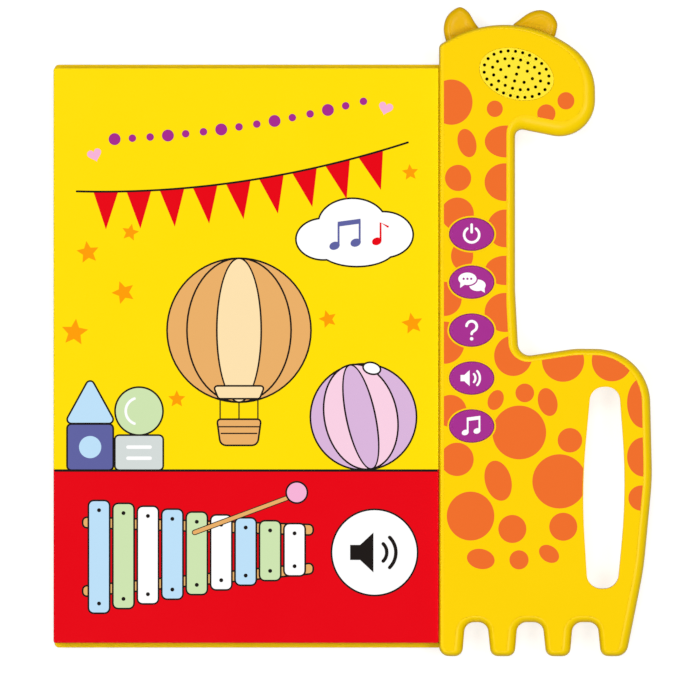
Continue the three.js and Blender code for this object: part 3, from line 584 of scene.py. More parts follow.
def edge_steps(steps):
    """How far a quarter circle has gone sideways and how much drop is left, step by step."""
    angles = [math.pi / 2 * step / steps for step in range(steps + 1)]
    return [(1 - math.cos(angle), 1 - math.sin(angle)) for angle in angles]


def round_edge(loop_at, bottom, top, drop, steps):
    """Rings of a wall that ends in a round edge. loop_at gives the loop at a share of it."""
    rings = [(loop_at(share), top - drop * left) for share, left in edge_steps(steps)]
    return [(loop_at(0.0), bottom), *rings]


def round_start(loop_at, bottom, rise, steps):
    """Rings of a round edge at the foot of a wall."""
    return [(loop_at(left), bottom + rise * share) for share, left in edge_steps(steps)]


print("a round edge in four steps:", [round(share, 2) for share, _ in edge_steps(4)])

# %% [markdown]
# Openings are cut with booleans. They need closed bodies, which the lofts are, and each is
# baked at once, so that the next step works on plain faces. Shading is smooth up to a limit
# of angle, wider for pieces that are soft all over.

# %% Cut and smooth
SMOOTH_ANGLE = 32.0
CLEAN_ANGLE = 40.0
SOFT_ANGLE = 60.0
FACE_WEIGHT = 100


def settle(piece):
    """Bakes the piece's modifiers into its mesh and removes them."""
    graph = bpy.context.evaluated_depsgraph_get()
    mesh = bpy.data.meshes.new_from_object(piece.evaluated_get(graph))
    old = piece.data
    piece.modifiers.clear()
    piece.data = mesh
    bpy.data.meshes.remove(old)
    return piece


def combine(piece, others, operation):
    """Adds or cuts away the other pieces, which are used up."""
    tools = bpy.data.collections.new("tools")
    for other in others:
        tools.objects.link(other)
    change = piece.modifiers.new("combine", "BOOLEAN")
    change.operation = operation
    change.operand_type = "COLLECTION"
    change.collection = tools
    change.solver = "MANIFOLD"
    settle(piece)
    for other in others:
        bpy.data.objects.remove(other)
    bpy.data.collections.remove(tools)


def smooth(piece, angle=SMOOTH_ANGLE):
    mesh = piece.data
    mesh.shade_smooth()
    mesh.set_sharp_from_angle(angle=math.radians(angle))
    even = piece.modifiers.new("even", "WEIGHTED_NORMAL")
    even.keep_sharp = True
    even.weight = FACE_WEIGHT
    return settle(piece)


def one_material(piece, material):
    piece.data.materials.clear()
    piece.data.materials.append(material)
    piece.data.polygons.foreach_set("material_index", [0] * len(piece.data.polygons))
    return piece


print("pieces are smooth up to an angle of", SMOOTH_ANGLE, "degrees")

# %% [markdown]
# ## Openings
# The front shell is pierced for five oval caps and for the grille, and both shells hold
# the ears. Each opening follows the piece that goes through it, with a little room, so the
# piece's own outline is written first. The caps stand where the model has them.

# %% Caps, grille and ears as outlines
BUTTONS = {
    "button_" + label: (label + "_button", middle_of("button_" + label)[1])
    for label in ("power", "language", "quiz", "volume", "songs")
}
BUTTON_X = 14.7
CAP_WIDTH = 20.2
CAP_HEIGHT = 14.8
CAP_SEGMENTS = 72
SPEAKER = (34.9, 258.2)
GRILLE_AXES = (17.1, 11.4)
GRILLE_TILT = -16.0
GRILLE_SEGMENTS = 96
EARS = {
    "ear_left": [
        (5.0, 267.5), (3.0, 273.5), (2.1, 279.3), (3.9, 284.8), (8.9, 288.5), (12.9, 286.6),
        (16.1, 281.6), (21.0, 273.4), (13.0, 267.5),
    ],
    "ear_right": [
        (35.0, 274.4), (33.0, 279.6), (36.1, 282.8), (41.0, 286.1), (46.0, 287.2), (50.6, 285.4),
        (53.1, 281.6), (52.9, 278.0), (51.2, 274.4), (44.0, 271.0),
    ],
}
ear_low, ear_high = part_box("ear_left")
EAR_BACK = ear_low[2] / MM
EAR_FRONT = ear_high[2] / MM


def cap_oval(y, grow=0.0):
    return oval(BUTTON_X, y, CAP_WIDTH / 2 + grow, CAP_HEIGHT / 2 + grow, 0.0, CAP_SEGMENTS)


def grille_oval(grow=0.0):
    return oval(*SPEAKER, GRILLE_AXES[0] + grow, GRILLE_AXES[1] + grow, GRILLE_TILT, GRILLE_SEGMENTS)


def spline(points, inset=0.0, segments=96):
    """A closed smooth curve through points, each point moved towards its middle by inset."""
    count = len(points)
    middle = sum((Vector(point) for point in points), Vector((0.0, 0.0))) / count
    loop = []
    for step in range(segments):
        at = step * count / segments
        index = int(at)
        part = at - index
        a, b, c, d = (Vector(points[(index + offset) % count]) for offset in (-1, 0, 1, 2))
        point = 0.5 * (
            2 * b + (c - a) * part + (2 * a - 5 * b + 4 * c - d) * part ** 2
            + (3 * b - a - 3 * c + d) * part ** 3
        )
        loop.append(point + (middle - point).normalized() * inset)
    return loop


print("caps at", [round(y, 1) for _, y in BUTTONS.values()], "mm above the foot")

# %% [markdown]
# ## The front shell
# This is one injection moulding: an even wall, a generous round along the front edge that
# is widest at the jaw, and openings for the buttons, the grille and the hand. A loft gives
# the round edge, and plain cutters, which reach a little past what they cut, open it.

# %% Front shell
WALL = 2.0
PAST = 1.0
EDGE_STEPS = 14
CAP_ROOM = 0.12
GRILLE_ROOM = 0.05
EAR_ROOM = 0.2
EAR_ROOM_DEEP = 0.15


def ear_cutters():
    return [
        prism("cutter", spline(points, -EAR_ROOM), EAR_BACK - EAR_ROOM_DEEP, EAR_FRONT + EAR_ROOM_DEEP)
        for points in EARS.values()
    ]


def front_shell():
    inside = FACE - WALL
    shell = loft("giraffe_front", round_edge(edge_loop, PARTING, FACE, EDGE_DROP, EDGE_STEPS))
    combine(shell, [prism("cavity", rounded(OUTLINE, WALL), PARTING - PAST, inside)], "DIFFERENCE")
    combine(shell, [prism("slot_wall", rounded(SLOT, -WALL), PARTING, FACE - PAST)], "UNION")
    holes = [cap_oval(y, CAP_ROOM) for _, y in BUTTONS.values()] + [grille_oval(GRILLE_ROOM)]
    cutters = [prism("slot_hole", rounded(SLOT), PARTING - PAST, FACE + PAST)]
    cutters += [prism("hole", loop, inside - PAST, FACE + PAST) for loop in holes]
    combine(shell, cutters + ear_cutters(), "DIFFERENCE")
    return smooth(one_material(shell, SHELL))


front = front_shell()
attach(front, "housing")
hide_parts("front_shell")
print("front shell faces:", len(front.data.polygons))

# %% [markdown]
# ## The rear shell and its tray
# The tray that the book is glued into is part of the rear moulding. Seen from above only
# its two low rims show, above and below the cover, and from below it is one wide plain
# sheet with the battery door and the screw holes. Each simple body is lofted on its own
# and united, because one outline for all of it would have to change with the height.

# %% Outlines of the tray, its rims and the battery door
TRAY_REACH = 173.3
TRAY_CORNER = 2.0
TRAY_HEAD = 262.6
TRAY_OVERLAP = 4.0
TRAY_FLOOR = 2.0
TRAY_EASE = 0.4
RIM_WIDTH = 2.15
RIM_HEAD = TRAY_HEAD + 0.1
RIM_HEIGHT = 6.5
RIM_FOOT = 0.5
RIM_OVERLAP = 1.5
RIM_ROUND = 0.3
JOINED_CORNER = 0.5
TIGHT_CORNER = 0.1
door_low, door_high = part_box("battery_door")
DOOR_LEFT, DOOR_FOOT = to_drawing(door_low[0], door_low[1])
DOOR_RIGHT, DOOR_HEAD = to_drawing(door_high[0], door_high[1])
DOOR_SCREW = middle_of("door_screw")
DOOR_PLATE_HEAD = 53.0
DOOR_TAB = 6.0
ROOM = 0.3


def tray_outline(inset):
    return rounded([
        (-TRAY_REACH, 0.0, TRAY_CORNER), (TRAY_OVERLAP, 0.0, JOINED_CORNER),
        (TRAY_OVERLAP, TRAY_HEAD, JOINED_CORNER), (-TRAY_REACH, TRAY_HEAD, TRAY_CORNER),
    ], inset)


def rim_loop(foot, head, inset):
    """One rim. Its outer corner follows the tray, and its inner one is tight."""
    low_corner, high_corner = (TRAY_CORNER, TIGHT_CORNER) if foot == 0.0 else (TIGHT_CORNER, TRAY_CORNER)
    return rounded([
        (-TRAY_REACH, foot, low_corner), (RIM_OVERLAP, foot, JOINED_CORNER),
        (RIM_OVERLAP, head, JOINED_CORNER), (-TRAY_REACH, head, high_corner),
    ], inset)


def tab_outline():
    """The seat of the door's tab, through which its screw goes."""
    left, right = DOOR_SCREW[0] - DOOR_TAB - ROOM, DOOR_SCREW[0] + DOOR_TAB + ROOM
    foot, head = DOOR_PLATE_HEAD - 2, DOOR_HEAD + ROOM
    return rounded([(left, foot, 1.0), (right, foot, 1.0), (right, head, 3.0), (left, head, 3.0)])


print("battery door is", round(DOOR_RIGHT - DOOR_LEFT, 1), "mm wide")

# %% Rear shell
REAR_TOP = 9.0
REAR_ROUND = 1.0
SLOT_WALL_FOOT = 1.0
SCREWS = [(8.0, 257.0), (61.0, 244.0), (9.0, 214.0), (8.0, 76.0), (57.0, 121.0), (79.0, 14.0)]
HEAD_RADIUS = 2.8
SCREW_SEGMENTS = 32
SCREW_SEAT = 2.5
BAY_DEPTH = 2.6
TAB_DEPTH = 1.65


def rear_shell():
    rings = round_start(lambda share: rounded(OUTLINE, REAR_ROUND * share), 0.0, REAR_ROUND, 6)
    shell = loft("giraffe_rear", [*rings, (rounded(OUTLINE), REAR_TOP)])
    tray = loft("tray", [
        (tray_outline(TRAY_EASE), 0.0), (tray_outline(0.0), TRAY_EASE), (tray_outline(0.0), TRAY_FLOOR),
    ])
    rims = [
        loft("rim", round_edge(
            lambda share: rim_loop(foot, head, RIM_ROUND * share), RIM_FOOT, RIM_HEIGHT, RIM_ROUND, 5,
        ))
        for foot, head in ((0.0, RIM_WIDTH), (TRAY_HEAD - RIM_WIDTH, RIM_HEAD))
    ]
    combine(shell, [tray, *rims], "UNION")
    combine(shell, [prism("cavity", rounded(OUTLINE, WALL), WALL, REAR_TOP + PAST)], "DIFFERENCE")
    combine(shell, [prism("slot_wall", rounded(SLOT, -WALL), SLOT_WALL_FOOT, REAR_TOP)], "UNION")
    bay = oblong(DOOR_LEFT - ROOM, DOOR_RIGHT + ROOM, DOOR_FOOT - ROOM, DOOR_PLATE_HEAD + ROOM)
    cutters = [prism("slot_hole", rounded(SLOT), -PAST, REAR_TOP + PAST)]
    cutters += [
        prism("screw_hole", disc(x, y, HEAD_RADIUS + ROOM, SCREW_SEGMENTS), -PAST, SCREW_SEAT)
        for x, y in SCREWS
    ]
    cutters += [prism("bay", bay, -PAST, BAY_DEPTH)]
    combine(shell, cutters + ear_cutters(), "DIFFERENCE")
    combine(shell, [prism("tab_seat", tab_outline(), -PAST, TAB_DEPTH)], "DIFFERENCE")
    return smooth(one_material(shell, SHELL))


rear = rear_shell()
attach(rear, "housing")
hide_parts("rear_shell")
print("rear shell faces:", len(rear.data.polygons))

# %% [markdown]
# ## Print as fields of colour
# The film and the cover are printed sheets. Their print could be a picture wrapped on the
# sheet, but that blurs when seen closely. A constrained triangulation divides the sheet
# along the border of every printed shape instead, so that each colour is its own set of
# faces. The list of shapes starts with the one on top.

# %% A sheet divided into fields
def colour_sheet(name, outline, holes, layers, bottom, top, base=None):
    """A thin closed sheet. layers holds (loop, material), and no base keeps only the layers."""
    points = []
    shapes = []
    for loop in [outline, *holes, *[shape for shape, _ in layers]]:
        ring = list(reversed(loop)) if inside_out(loop) else list(loop)
        shapes.append(list(range(len(points), len(points) + len(ring))))
        points.extend(ring)
    corners, _, faces, _, _, sources = delaunay_2d_cdt(points, [], shapes, 1, 1e-5)
    first_layer = 1 + len(holes)
    materials = [base] if base else []
    form = bmesh.new()
    low = [form.verts.new(home(corner, bottom)) for corner in corners]
    high = [form.verts.new(home(corner, top)) for corner in corners]
    borders = {}
    for face, source in zip(faces, sources):
        over = sorted(index for index in source if index >= first_layer)
        in_hole = any(0 < index < first_layer for index in source)
        material = layers[over[0] - first_layer][1] if over else base
        if 0 not in source or in_hole or material is None:
            continue
        if material not in materials:
            materials.append(material)
        for ring, order in ((high, face), (low, list(reversed(face)))):
            made = form.faces.new([ring[index] for index in order])
            made.material_index = materials.index(material)
        for start, end in zip(face, list(face[1:]) + [face[0]]):
            borders[(start, end)] = materials.index(material)
    for (start, end), slot in borders.items():
        if (end, start) not in borders:
            made = form.faces.new((low[start], low[end], high[end], high[start]))
            made.material_index = slot
    loose = [vert for vert in form.verts if not vert.link_faces]
    bmesh.ops.delete(form, geom=loose, context="VERTS")
    return make_object(name, to_mesh(name, form), materials)


print("sheet helper ready")

# %% [markdown]
# ## The film on the giraffe's face
# A printed film covers the flat of the face. Its orange spots follow a giraffe's coat: some
# are cut off by the edge of the film, and the film leaves a narrow ring of bare shell round
# every button and round the grille. Each spot is an oval with a middle, two half widths and
# a turn.

# %% Film with its spots
SPOTS = [
    (5.6, 245.6, 9.5, 10.2, 0), (25.1, 242.6, 3.6, 3.7, 0), (48.3, 240.5, 4.1, 4.1, 0),
    (57.1, 246.2, 3.8, 3.9, 0), (12.6, 227.2, 4.1, 6.5, 15), (30.0, 227.9, 9.4, 7.2, 0),
    (8.6, 211.5, 5.9, 5.9, 0), (29.7, 209.6, 9.2, 8.5, 0), (8.3, 195.3, 7.4, 7.4, 0),
    (29.7, 188.8, 8.1, 8.5, 0), (10.4, 176.4, 5.0, 6.3, 0), (29.7, 169.9, 9.0, 6.6, 0),
    (2.5, 157.1, 7.7, 7.7, 0), (29.7, 151.0, 9.2, 8.8, 0), (2.5, 137.4, 9.0, 9.5, 0),
    (33.4, 131.5, 8.6, 9.1, 0), (55.8, 129.3, 9.5, 9.5, 0), (77.8, 129.3, 9.1, 9.3, 0),
    (91.8, 110.3, 7.2, 11.3, 0), (91.8, 86.0, 7.2, 8.8, 0), (91.1, 67.5, 5.9, 5.7, 0),
    (25.5, 111.6, 3.4, 4.7, -25), (38.6, 114.8, 4.2, 4.2, 0), (48.9, 110.7, 4.3, 6.4, 15),
    (36.1, 97.0, 12.1, 12.1, 0), (58.9, 93.5, 5.5, 5.5, 0), (5.2, 106.7, 7.2, 7.2, 0),
    (8.1, 84.9, 7.5, 7.5, 0), (26.6, 75.3, 5.9, 9.2, 15), (54.2, 75.0, 12.2, 12.2, 0),
    (14.2, 59.4, 10.7, 11.0, 0), (33.0, 53.6, 6.3, 6.3, 0), (55.9, 54.6, 6.3, 6.3, 0),
    (18.8, 40.1, 6.3, 4.5, -12), (36.0, 39.7, 4.3, 4.3, 0), (49.5, 42.4, 4.9, 3.6, -35),
]
SPOT_SEGMENTS = 56
FILM_BORDER = 0.2
WIDE_BORDERS = {"seam": 1.25, "neck": 0.7, "mane": 0.8}
FILM_INSETS = [width + FILM_BORDER for width in FEET_SIDES]
FILM_INSETS += [width + WIDE_BORDERS.get(side, FILM_BORDER) for side, width in BODY_WIDTHS.items()]
FILM_SINK = 0.05
SLOT_RING = 0.4
GRILLE_RING = 0.08
CAP_RING = 0.9

film_holes = [rounded(SLOT, -SLOT_RING), grille_oval(GRILLE_RING)]
film_holes += [cap_oval(y, CAP_RING) for _, y in BUTTONS.values()]
film = colour_sheet(
    "giraffe_film", rounded(OUTLINE, FILM_INSETS), film_holes,
    [(oval(*spot, SPOT_SEGMENTS), SPOT) for spot in SPOTS], FILM_BOTTOM - FILM_SINK, FILM_TOP, FILM,
)
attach(film, "housing")
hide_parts("face_film")
print("film faces:", len(film.data.polygons))

# %% [markdown]
# ## Node groups
# Geometry Nodes suit what repeats by a rule, and a group can be built in a script as well
# as by hand. Every group gets named inputs for its sizes. It ends in Realize Instances,
# which turns copies into real faces, and in Set Material. A modifier's input is set by its
# identifier before the piece is first evaluated.

# %% Helpers for node groups
def new_tree(name, sizes):
    """A group with a named input for each (label, kind, value)."""
    tree = bpy.data.node_groups.new(name, "GeometryNodeTree")
    for way in ("INPUT", "OUTPUT"):
        tree.interface.new_socket(name="Geometry", in_out=way, socket_type="NodeSocketGeometry")
    keys = {}
    for label, kind, value in sizes:
        socket = tree.interface.new_socket(name=label, in_out="INPUT", socket_type="NodeSocket" + kind)
        if value is not None:
            socket.default_value = value
        keys[label] = socket.identifier
    return tree, keys, tree.nodes.new("NodeGroupInput")


def finish_tree(tree, given, made):
    real = add_node(tree, "GeometryNodeRealizeInstances", {}, {"Geometry": made.outputs[0]})
    painted = add_node(tree, "GeometryNodeSetMaterial", {}, {
        "Geometry": real.outputs[0], "Material": given.outputs["Finish"],
    })
    result = tree.nodes.new("NodeGroupOutput")
    tree.links.new(painted.outputs[0], result.inputs[0])


def run_tree(piece, tree, keys, values):
    change = piece.modifiers.new(tree.name, "NODES")
    change.node_group = tree
    for label, value in values.items():
        change[keys[label]] = value
    return settle(piece)


print("node group helpers ready")

# %% [markdown]
# ## The speaker grille
# Forty-nine round holes lie on three tilted ovals round a middle one, eight more on each
# oval than on the last. That is a rule, so Geometry Nodes lay it out: each oval is a
# squeezed circle divided into equal lengths, a drill stands on each of its points, and one
# boolean cuts them all.

# %% The node group that drills the grille
HOLE_RINGS = 3
HOLES_PER_RING = 8
GRILLE_SIZES = {
    "Long": 0.015, "Long step": 0.0038, "Short": 0.01, "Short step": 0.0034,
    "Hole": 0.00074, "Depth": 0.008,
}


def hole_ring(tree, given, circle, ring):
    """The points of one oval, from the middle outwards."""
    axes = [
        add_node(tree, "ShaderNodeMath", {"operation": "MULTIPLY_ADD"}, {
            0: given.outputs[axis + " step"], 1: ring - HOLE_RINGS, 2: given.outputs[axis],
        }).outputs[0]
        for axis in ("Long", "Short")
    ]
    squeeze = add_node(tree, "ShaderNodeCombineXYZ", {}, {"X": axes[0], "Y": axes[1], "Z": 1.0})
    ellipse = add_node(tree, "GeometryNodeTransform", {}, {
        "Geometry": circle.outputs[0], "Scale": squeeze.outputs[0],
    })
    even = add_node(tree, "GeometryNodeResampleCurve", {}, {
        "Curve": ellipse.outputs[0], "Count": ring * HOLES_PER_RING,
    })
    return add_node(tree, "GeometryNodeCurveToPoints", {"mode": "EVALUATED"}, {"Curve": even.outputs[0]})


def grille_tree():
    tree, keys, given = new_tree("drilled_grille", [
        *[(label, "Float", size) for label, size in GRILLE_SIZES.items()],
        ("Tilt", "Float", 0.0), ("Middle", "Vector", (0.0, 0.0, 0.0)), ("Finish", "Material", None),
    ])
    points = tree.nodes.new("GeometryNodeJoinGeometry")
    centre = add_node(tree, "GeometryNodePoints", {}, {"Count": 1})
    tree.links.new(centre.outputs[0], points.inputs[0])
    circle = add_node(tree, "GeometryNodeCurvePrimitiveCircle", {}, {"Resolution": 96, "Radius": 1.0})
    for ring in range(1, HOLE_RINGS + 1):
        tree.links.new(hole_ring(tree, given, circle, ring).outputs[0], points.inputs[0])
    turn = add_node(tree, "ShaderNodeCombineXYZ", {}, {"Z": given.outputs["Tilt"]})
    laid = add_node(tree, "GeometryNodeTransform", {}, {
        "Geometry": points.outputs[0], "Translation": given.outputs["Middle"], "Rotation": turn.outputs[0],
    })
    drill = add_node(tree, "GeometryNodeMeshCylinder", {}, {
        "Vertices": 20, "Side Segments": 1, "Radius": given.outputs["Hole"], "Depth": given.outputs["Depth"],
    })
    drills = add_node(tree, "GeometryNodeInstanceOnPoints", {}, {
        "Points": laid.outputs[0], "Instance": drill.outputs[0],
    })
    real = add_node(tree, "GeometryNodeRealizeInstances", {}, {"Geometry": drills.outputs[0]})
    cut = add_node(tree, "GeometryNodeMeshBoolean", {"operation": "DIFFERENCE", "solver": "MANIFOLD"}, {
        "Mesh 1": given.outputs["Geometry"], "Mesh 2": real.outputs[0],
    })
    finish_tree(tree, given, cut)
    return tree, keys


print("holes in the grille:", 1 + HOLES_PER_RING * sum(range(1, HOLE_RINGS + 1)))

# %% Grille plate, drilled
GRILLE_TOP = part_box("speaker_grille")[1][2] / MM
PLATE_THICKNESS = 1.6
DISH_BORDER = 0.5
FLANGE = 1.5


def speaker_grille():
    rings = [(FLANGE, 3.0), (FLANGE, 2.1), (0.0, 2.0), (0.0, 0.1), (-0.12, 0.0)]
    plate = loft("grille_plate", [(grille_oval(grow), GRILLE_TOP - depth) for grow, depth in rings], GRILLE)
    dish = prism("dish", grille_oval(-DISH_BORDER), GRILLE_TOP - 4, GRILLE_TOP - PLATE_THICKNESS)
    combine(plate, [dish], "DIFFERENCE")
    tree, keys = grille_tree()
    run_tree(plate, tree, keys, {
        **GRILLE_SIZES, "Tilt": math.radians(GRILLE_TILT),
        "Middle": home(Vector(SPEAKER), GRILLE_TOP), "Finish": GRILLE,
    })
    return smooth(one_material(plate, GRILLE), CLEAN_ANGLE)


grille = speaker_grille()
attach(grille, "housing")
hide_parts("speaker_grille")
print("grille faces:", len(grille.data.polygons))

# %% [markdown]
# ## Ears
# Each ear is its own golden moulding: a leaf with a wide soft edge and a faint hollow,
# held between the two shells. It could be sculpted, but a loft of one smooth outline that
# shrinks towards the top gives the same form with few faces.

# %% Two ears
EAR_EDGE_WIDTH = 2.9
EAR_EDGE_HEIGHT = 2.4
EAR_HOLLOW = [(3.3, 0.04), (4.0, 0.22), (5.0, 0.34), (6.0, 0.38)]


def ear(name, points):
    rings = round_edge(
        lambda share: spline(points, EAR_EDGE_WIDTH * share),
        EAR_BACK, EAR_FRONT, EAR_EDGE_HEIGHT, EDGE_STEPS,
    )
    rings += [(spline(points, inset), EAR_FRONT - depth) for inset, depth in EAR_HOLLOW]
    return smooth(loft(name, rings, EAR), SOFT_ANGLE)


for ear_name, ear_points in EARS.items():
    piece = ear(ear_name + "_moulding", ear_points)
    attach(piece, "housing")
    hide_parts(ear_name)
    print(ear_name, "faces:", len(piece.data.polygons))

# %% [markdown]
# ## Button signs
# Plain white signs tell the buttons apart: power, two speech bubbles, a question mark, a
# loudspeaker and a pair of notes. They are printed, so they are thin sheets on the caps. A
# stroke is a path given a width, and shapes that should stay purple between white ones are
# layers with no material.

# %% Strokes
def arc_path(x, y, radius, start, end, steps=18):
    path = []
    for step in range(steps + 1):
        angle = math.radians(start + (end - start) * step / steps)
        path.append(Vector((x + radius * math.cos(angle), y + radius * math.sin(angle))))
    return path


def stroke_cap(point, start, steps=6):
    """The half circle at the end of a stroke, without its two ends."""
    return [point + Matrix.Rotation(-math.pi * step / steps, 2) @ start for step in range(1, steps)]


def stroke(path, width):
    """The outline of a line of the given width along a path, with round ends."""
    left, right = [], []
    for index, point in enumerate(path):
        along = path[min(index + 1, len(path) - 1)] - path[max(index - 1, 0)]
        side = Vector((-along.y, along.x)).normalized() * (width / 2)
        left.append(point + side)
        right.append(point - side)
    far = stroke_cap(path[-1], left[-1] - path[-1])
    near = stroke_cap(path[0], right[0] - path[0])
    return left + far + list(reversed(right)) + near


print("a stroke of two points has", len(stroke(polygon((0, 0), (1, 0)), 1.0)), "corners")

# %% Sign shapes
GAP = None
DOT = 0.5
SIGNS = {
    "button_power": [
        (stroke(polygon((0, 0.9), (0, 4.3)), 1.15), SIGN),
        (stroke(arc_path(0, -0.3, 3.4, 125, 415), 1.15), SIGN),
    ],
    "button_language": [
        *[(disc(x, 1.5, DOT), GAP) for x in (-3.6, -1.9, -0.2)],
        (oval(-1.9, 1.5, 4.1, 2.8), SIGN),
        (polygon((-5, 0.6), (-2.4, -0.6), (-5.2, -2.6)), SIGN),
        (oval(-1.9, 1.5, 4.7, 3.4), GAP),
        (oval(2.6, -1.4, 3.7, 2.6), SIGN),
        (polygon((3.4, -3.2), (5.8, -2), (5.9, -4.8)), SIGN),
    ],
    "button_quiz": [
        (stroke(arc_path(0, 1.7, 2.3, 175, -50) + polygon((0.25, -0.9), (0, -1.7)), 1.2), SIGN),
        (disc(0, -3.9, 0.78), SIGN),
    ],
    "button_volume": [
        (polygon((-5, -1.4), (-3.3, -1.4), (-0.9, -3.6), (-0.9, 3.6), (-3.3, 1.4), (-5, 1.4)), SIGN),
        *[(stroke(arc_path(-1, 0, radius, -42, 42), 1.0), SIGN) for radius in (2.7, 4.7)],
    ],
    "button_songs": [
        *[(oval(x, y, 1.6, 1.2, 20, 32), SIGN) for x, y in ((-2.9, -2.9), (2.4, -2.2))],
        (oblong(-2.2, -1.4, -2.8, 3), SIGN),
        (oblong(3.1, 3.9, -2.1, 3.7), SIGN),
        (polygon((-2.2, 2.2), (3.9, 3), (3.9, 4.6), (-2.2, 3.8)), SIGN),
    ],
}
print("signs drawn:", len(SIGNS))

# %% [markdown]
# ## Button caps
# Each cap is a shallow purple oval with a round edge and a flange that keeps it behind the
# shell. Cap and sign ride on the button's own body, so that both go down when the button
# is pressed.

# %% Caps and their signs
cap_low, cap_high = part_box("button_power")
CAP_BASE = cap_low[2] / MM
CAP_TOP = cap_high[2] / MM
CAP_FLANGE = 1.2
FLANGE_HEIGHT = 1.3
FLANGE_STEP = 0.01
CAP_WALL_FOOT = 2.0
CAP_ROUND = 0.8
SIGN_BORDER = 0.9
SIGN_SINK = 0.05
SIGN_RISE = 0.04


def button_cap(name, y):
    rings = [
        (cap_oval(y, CAP_FLANGE), CAP_BASE), (cap_oval(y, CAP_FLANGE), CAP_BASE + FLANGE_HEIGHT),
        (cap_oval(y), CAP_BASE + FLANGE_HEIGHT + FLANGE_STEP),
    ]
    rings += round_edge(
        lambda share: cap_oval(y, -CAP_ROUND * share), CAP_BASE + CAP_WALL_FOOT, CAP_TOP, CAP_ROUND, 8,
    )
    return smooth(loft(name, rings, CAP), CLEAN_ANGLE)


for node, (body, y) in BUTTONS.items():
    cap = button_cap(node + "_cap", y)
    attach(cap, body)
    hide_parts(node)
    middle = Vector((BUTTON_X, y))
    shapes = [([point + middle for point in loop], material) for loop, material in SIGNS[node]]
    sign = colour_sheet(
        node + "_sign", cap_oval(y, -SIGN_BORDER), [], shapes, CAP_TOP - SIGN_SINK, CAP_TOP + SIGN_RISE,
    )
    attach(sign, body)
print("caps with their signs:", len(BUTTONS))

# %% [markdown]
# ## The cover
# The board is wrapped in printed paper, so its edges are softly round. A cube with a bevel
# would do for the board alone, but the printed sheet on it needs the same outline, so both
# come from one function.

# %% The wrapped board
COVER_GAP = 0.15
COVER_ROUND = 0.4
COVER_CORNER = 0.8
COVER_HEAD = 261.0


def cover_outline(inset):
    return rounded(
        oblong_corners(-COVER_REACH, -COVER_GAP, COVER_FOOT, COVER_HEAD, COVER_CORNER), inset,
    )


def cover_share(share):
    return cover_outline(COVER_ROUND * share)


rings = round_start(cover_share, BOARD_BOTTOM, COVER_ROUND, 5)
rings += round_edge(cover_share, BOARD_BOTTOM + COVER_ROUND, COVER_TOP, COVER_ROUND, 5)[1:]
board = smooth(loft("cover_board", rings, WRAP), CLEAN_ANGLE)
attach(board, "front_cover")
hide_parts("front_board")
print("cover board faces:", len(board.data.polygons))

# %% [markdown]
# ## Toys for the cover
# The cover's picture is a plain design of toys on a red floor. Each toy is a fill on top of
# a slightly larger black shape, which leaves a drawn line of even width. Every helper gives
# a list of layers, the top one first.

# %% Fills with a drawn line
LINE = 0.8
COARSE_CHORD = 0.05


def outlined(colour, loop_at):
    """A fill and the black shape under it: loop_at gives the loop at a growth."""
    return [(loop_at(0.0), INKS[colour]), (loop_at(LINE), INKS["black"])]


def round_toy(x, y, half_width, half_height, colour, turn=0.0):
    return outlined(colour, lambda grow: oval(x, y, half_width + grow, half_height + grow, turn))


def cornered_toy(corners, colour):
    return outlined(colour, lambda grow: rounded(corners, -grow, COARSE_CHORD))


def line_mark(path, width=0.75, colour="black"):
    return (stroke(path, width), INKS[colour])


def stack(*toys):
    return [layer for toy in toys for layer in toy]


print("drawn lines are", LINE, "mm wide")

# %% Stars, hearts, bunting and beads
STAR_WAIST = 0.47
FLAGS = 9
FLAG_LENGTH = 17
STRING_STEPS = 40
BEADS = 15


def star(x, y, size, turn):
    points = []
    for tip in range(10):
        reach = size if tip % 2 == 0 else size * STAR_WAIST
        angle = math.pi * tip / 5 + math.radians(turn)
        points.append(Vector((x - reach * math.sin(angle), y + reach * math.cos(angle))))
    return (points, INKS["orange"])


def heart(x, y, size, turn):
    tilt = Matrix.Rotation(math.radians(turn), 2)
    points = []
    for step in range(40):
        angle = 2 * math.pi * step / 40
        across = 0.95 * math.sin(angle) ** 3
        waves = zip((13, -5, -2, -1), (1, 2, 3, 4))
        up = sum(height * math.cos(times * angle) for height, times in waves) / 17
        points.append(Vector((x, y)) + tilt @ Vector((across * size, up * size)))
    return (points, INKS["rose"])


def hung(x, y, span, rise, sag, share):
    """A point of a string that rises from its left end and hangs through."""
    return (x + span * share, y + rise * share + sag * (share - 0.5) ** 2)


def bunting():
    """Red pennants on a string, high on the cover."""
    shares = [step / STRING_STEPS for step in range(STRING_STEPS + 1)]
    string = [Vector(hung(-163, 199, 149, 22, 26, share)) for share in shares]
    shapes = [line_mark(string, 0.9)]
    for flag in range(FLAGS):
        start, end = string[2 + flag * 4], string[5 + flag * 4]
        along = end - start
        tip = (start + end) / 2 + Vector((along.y, -along.x)).normalized() * FLAG_LENGTH
        shapes.append(([start, tip, end], INKS["red"]))
    return shapes


def bead_string():
    """Purple beads above the bunting, every third one larger."""
    shapes = []
    for bead in range(BEADS):
        place = hung(-146, 226, 112, 17, 12, bead / (BEADS - 1))
        shapes.append((disc(*place, 2.7 if bead % 3 == 0 else 1.7, 28), INKS["purple"]))
    return shapes


print("pennants and beads:", len(bunting()) - 1, len(bead_string()))

# %% Balloon, ball and cloud
ROPE = 0.6


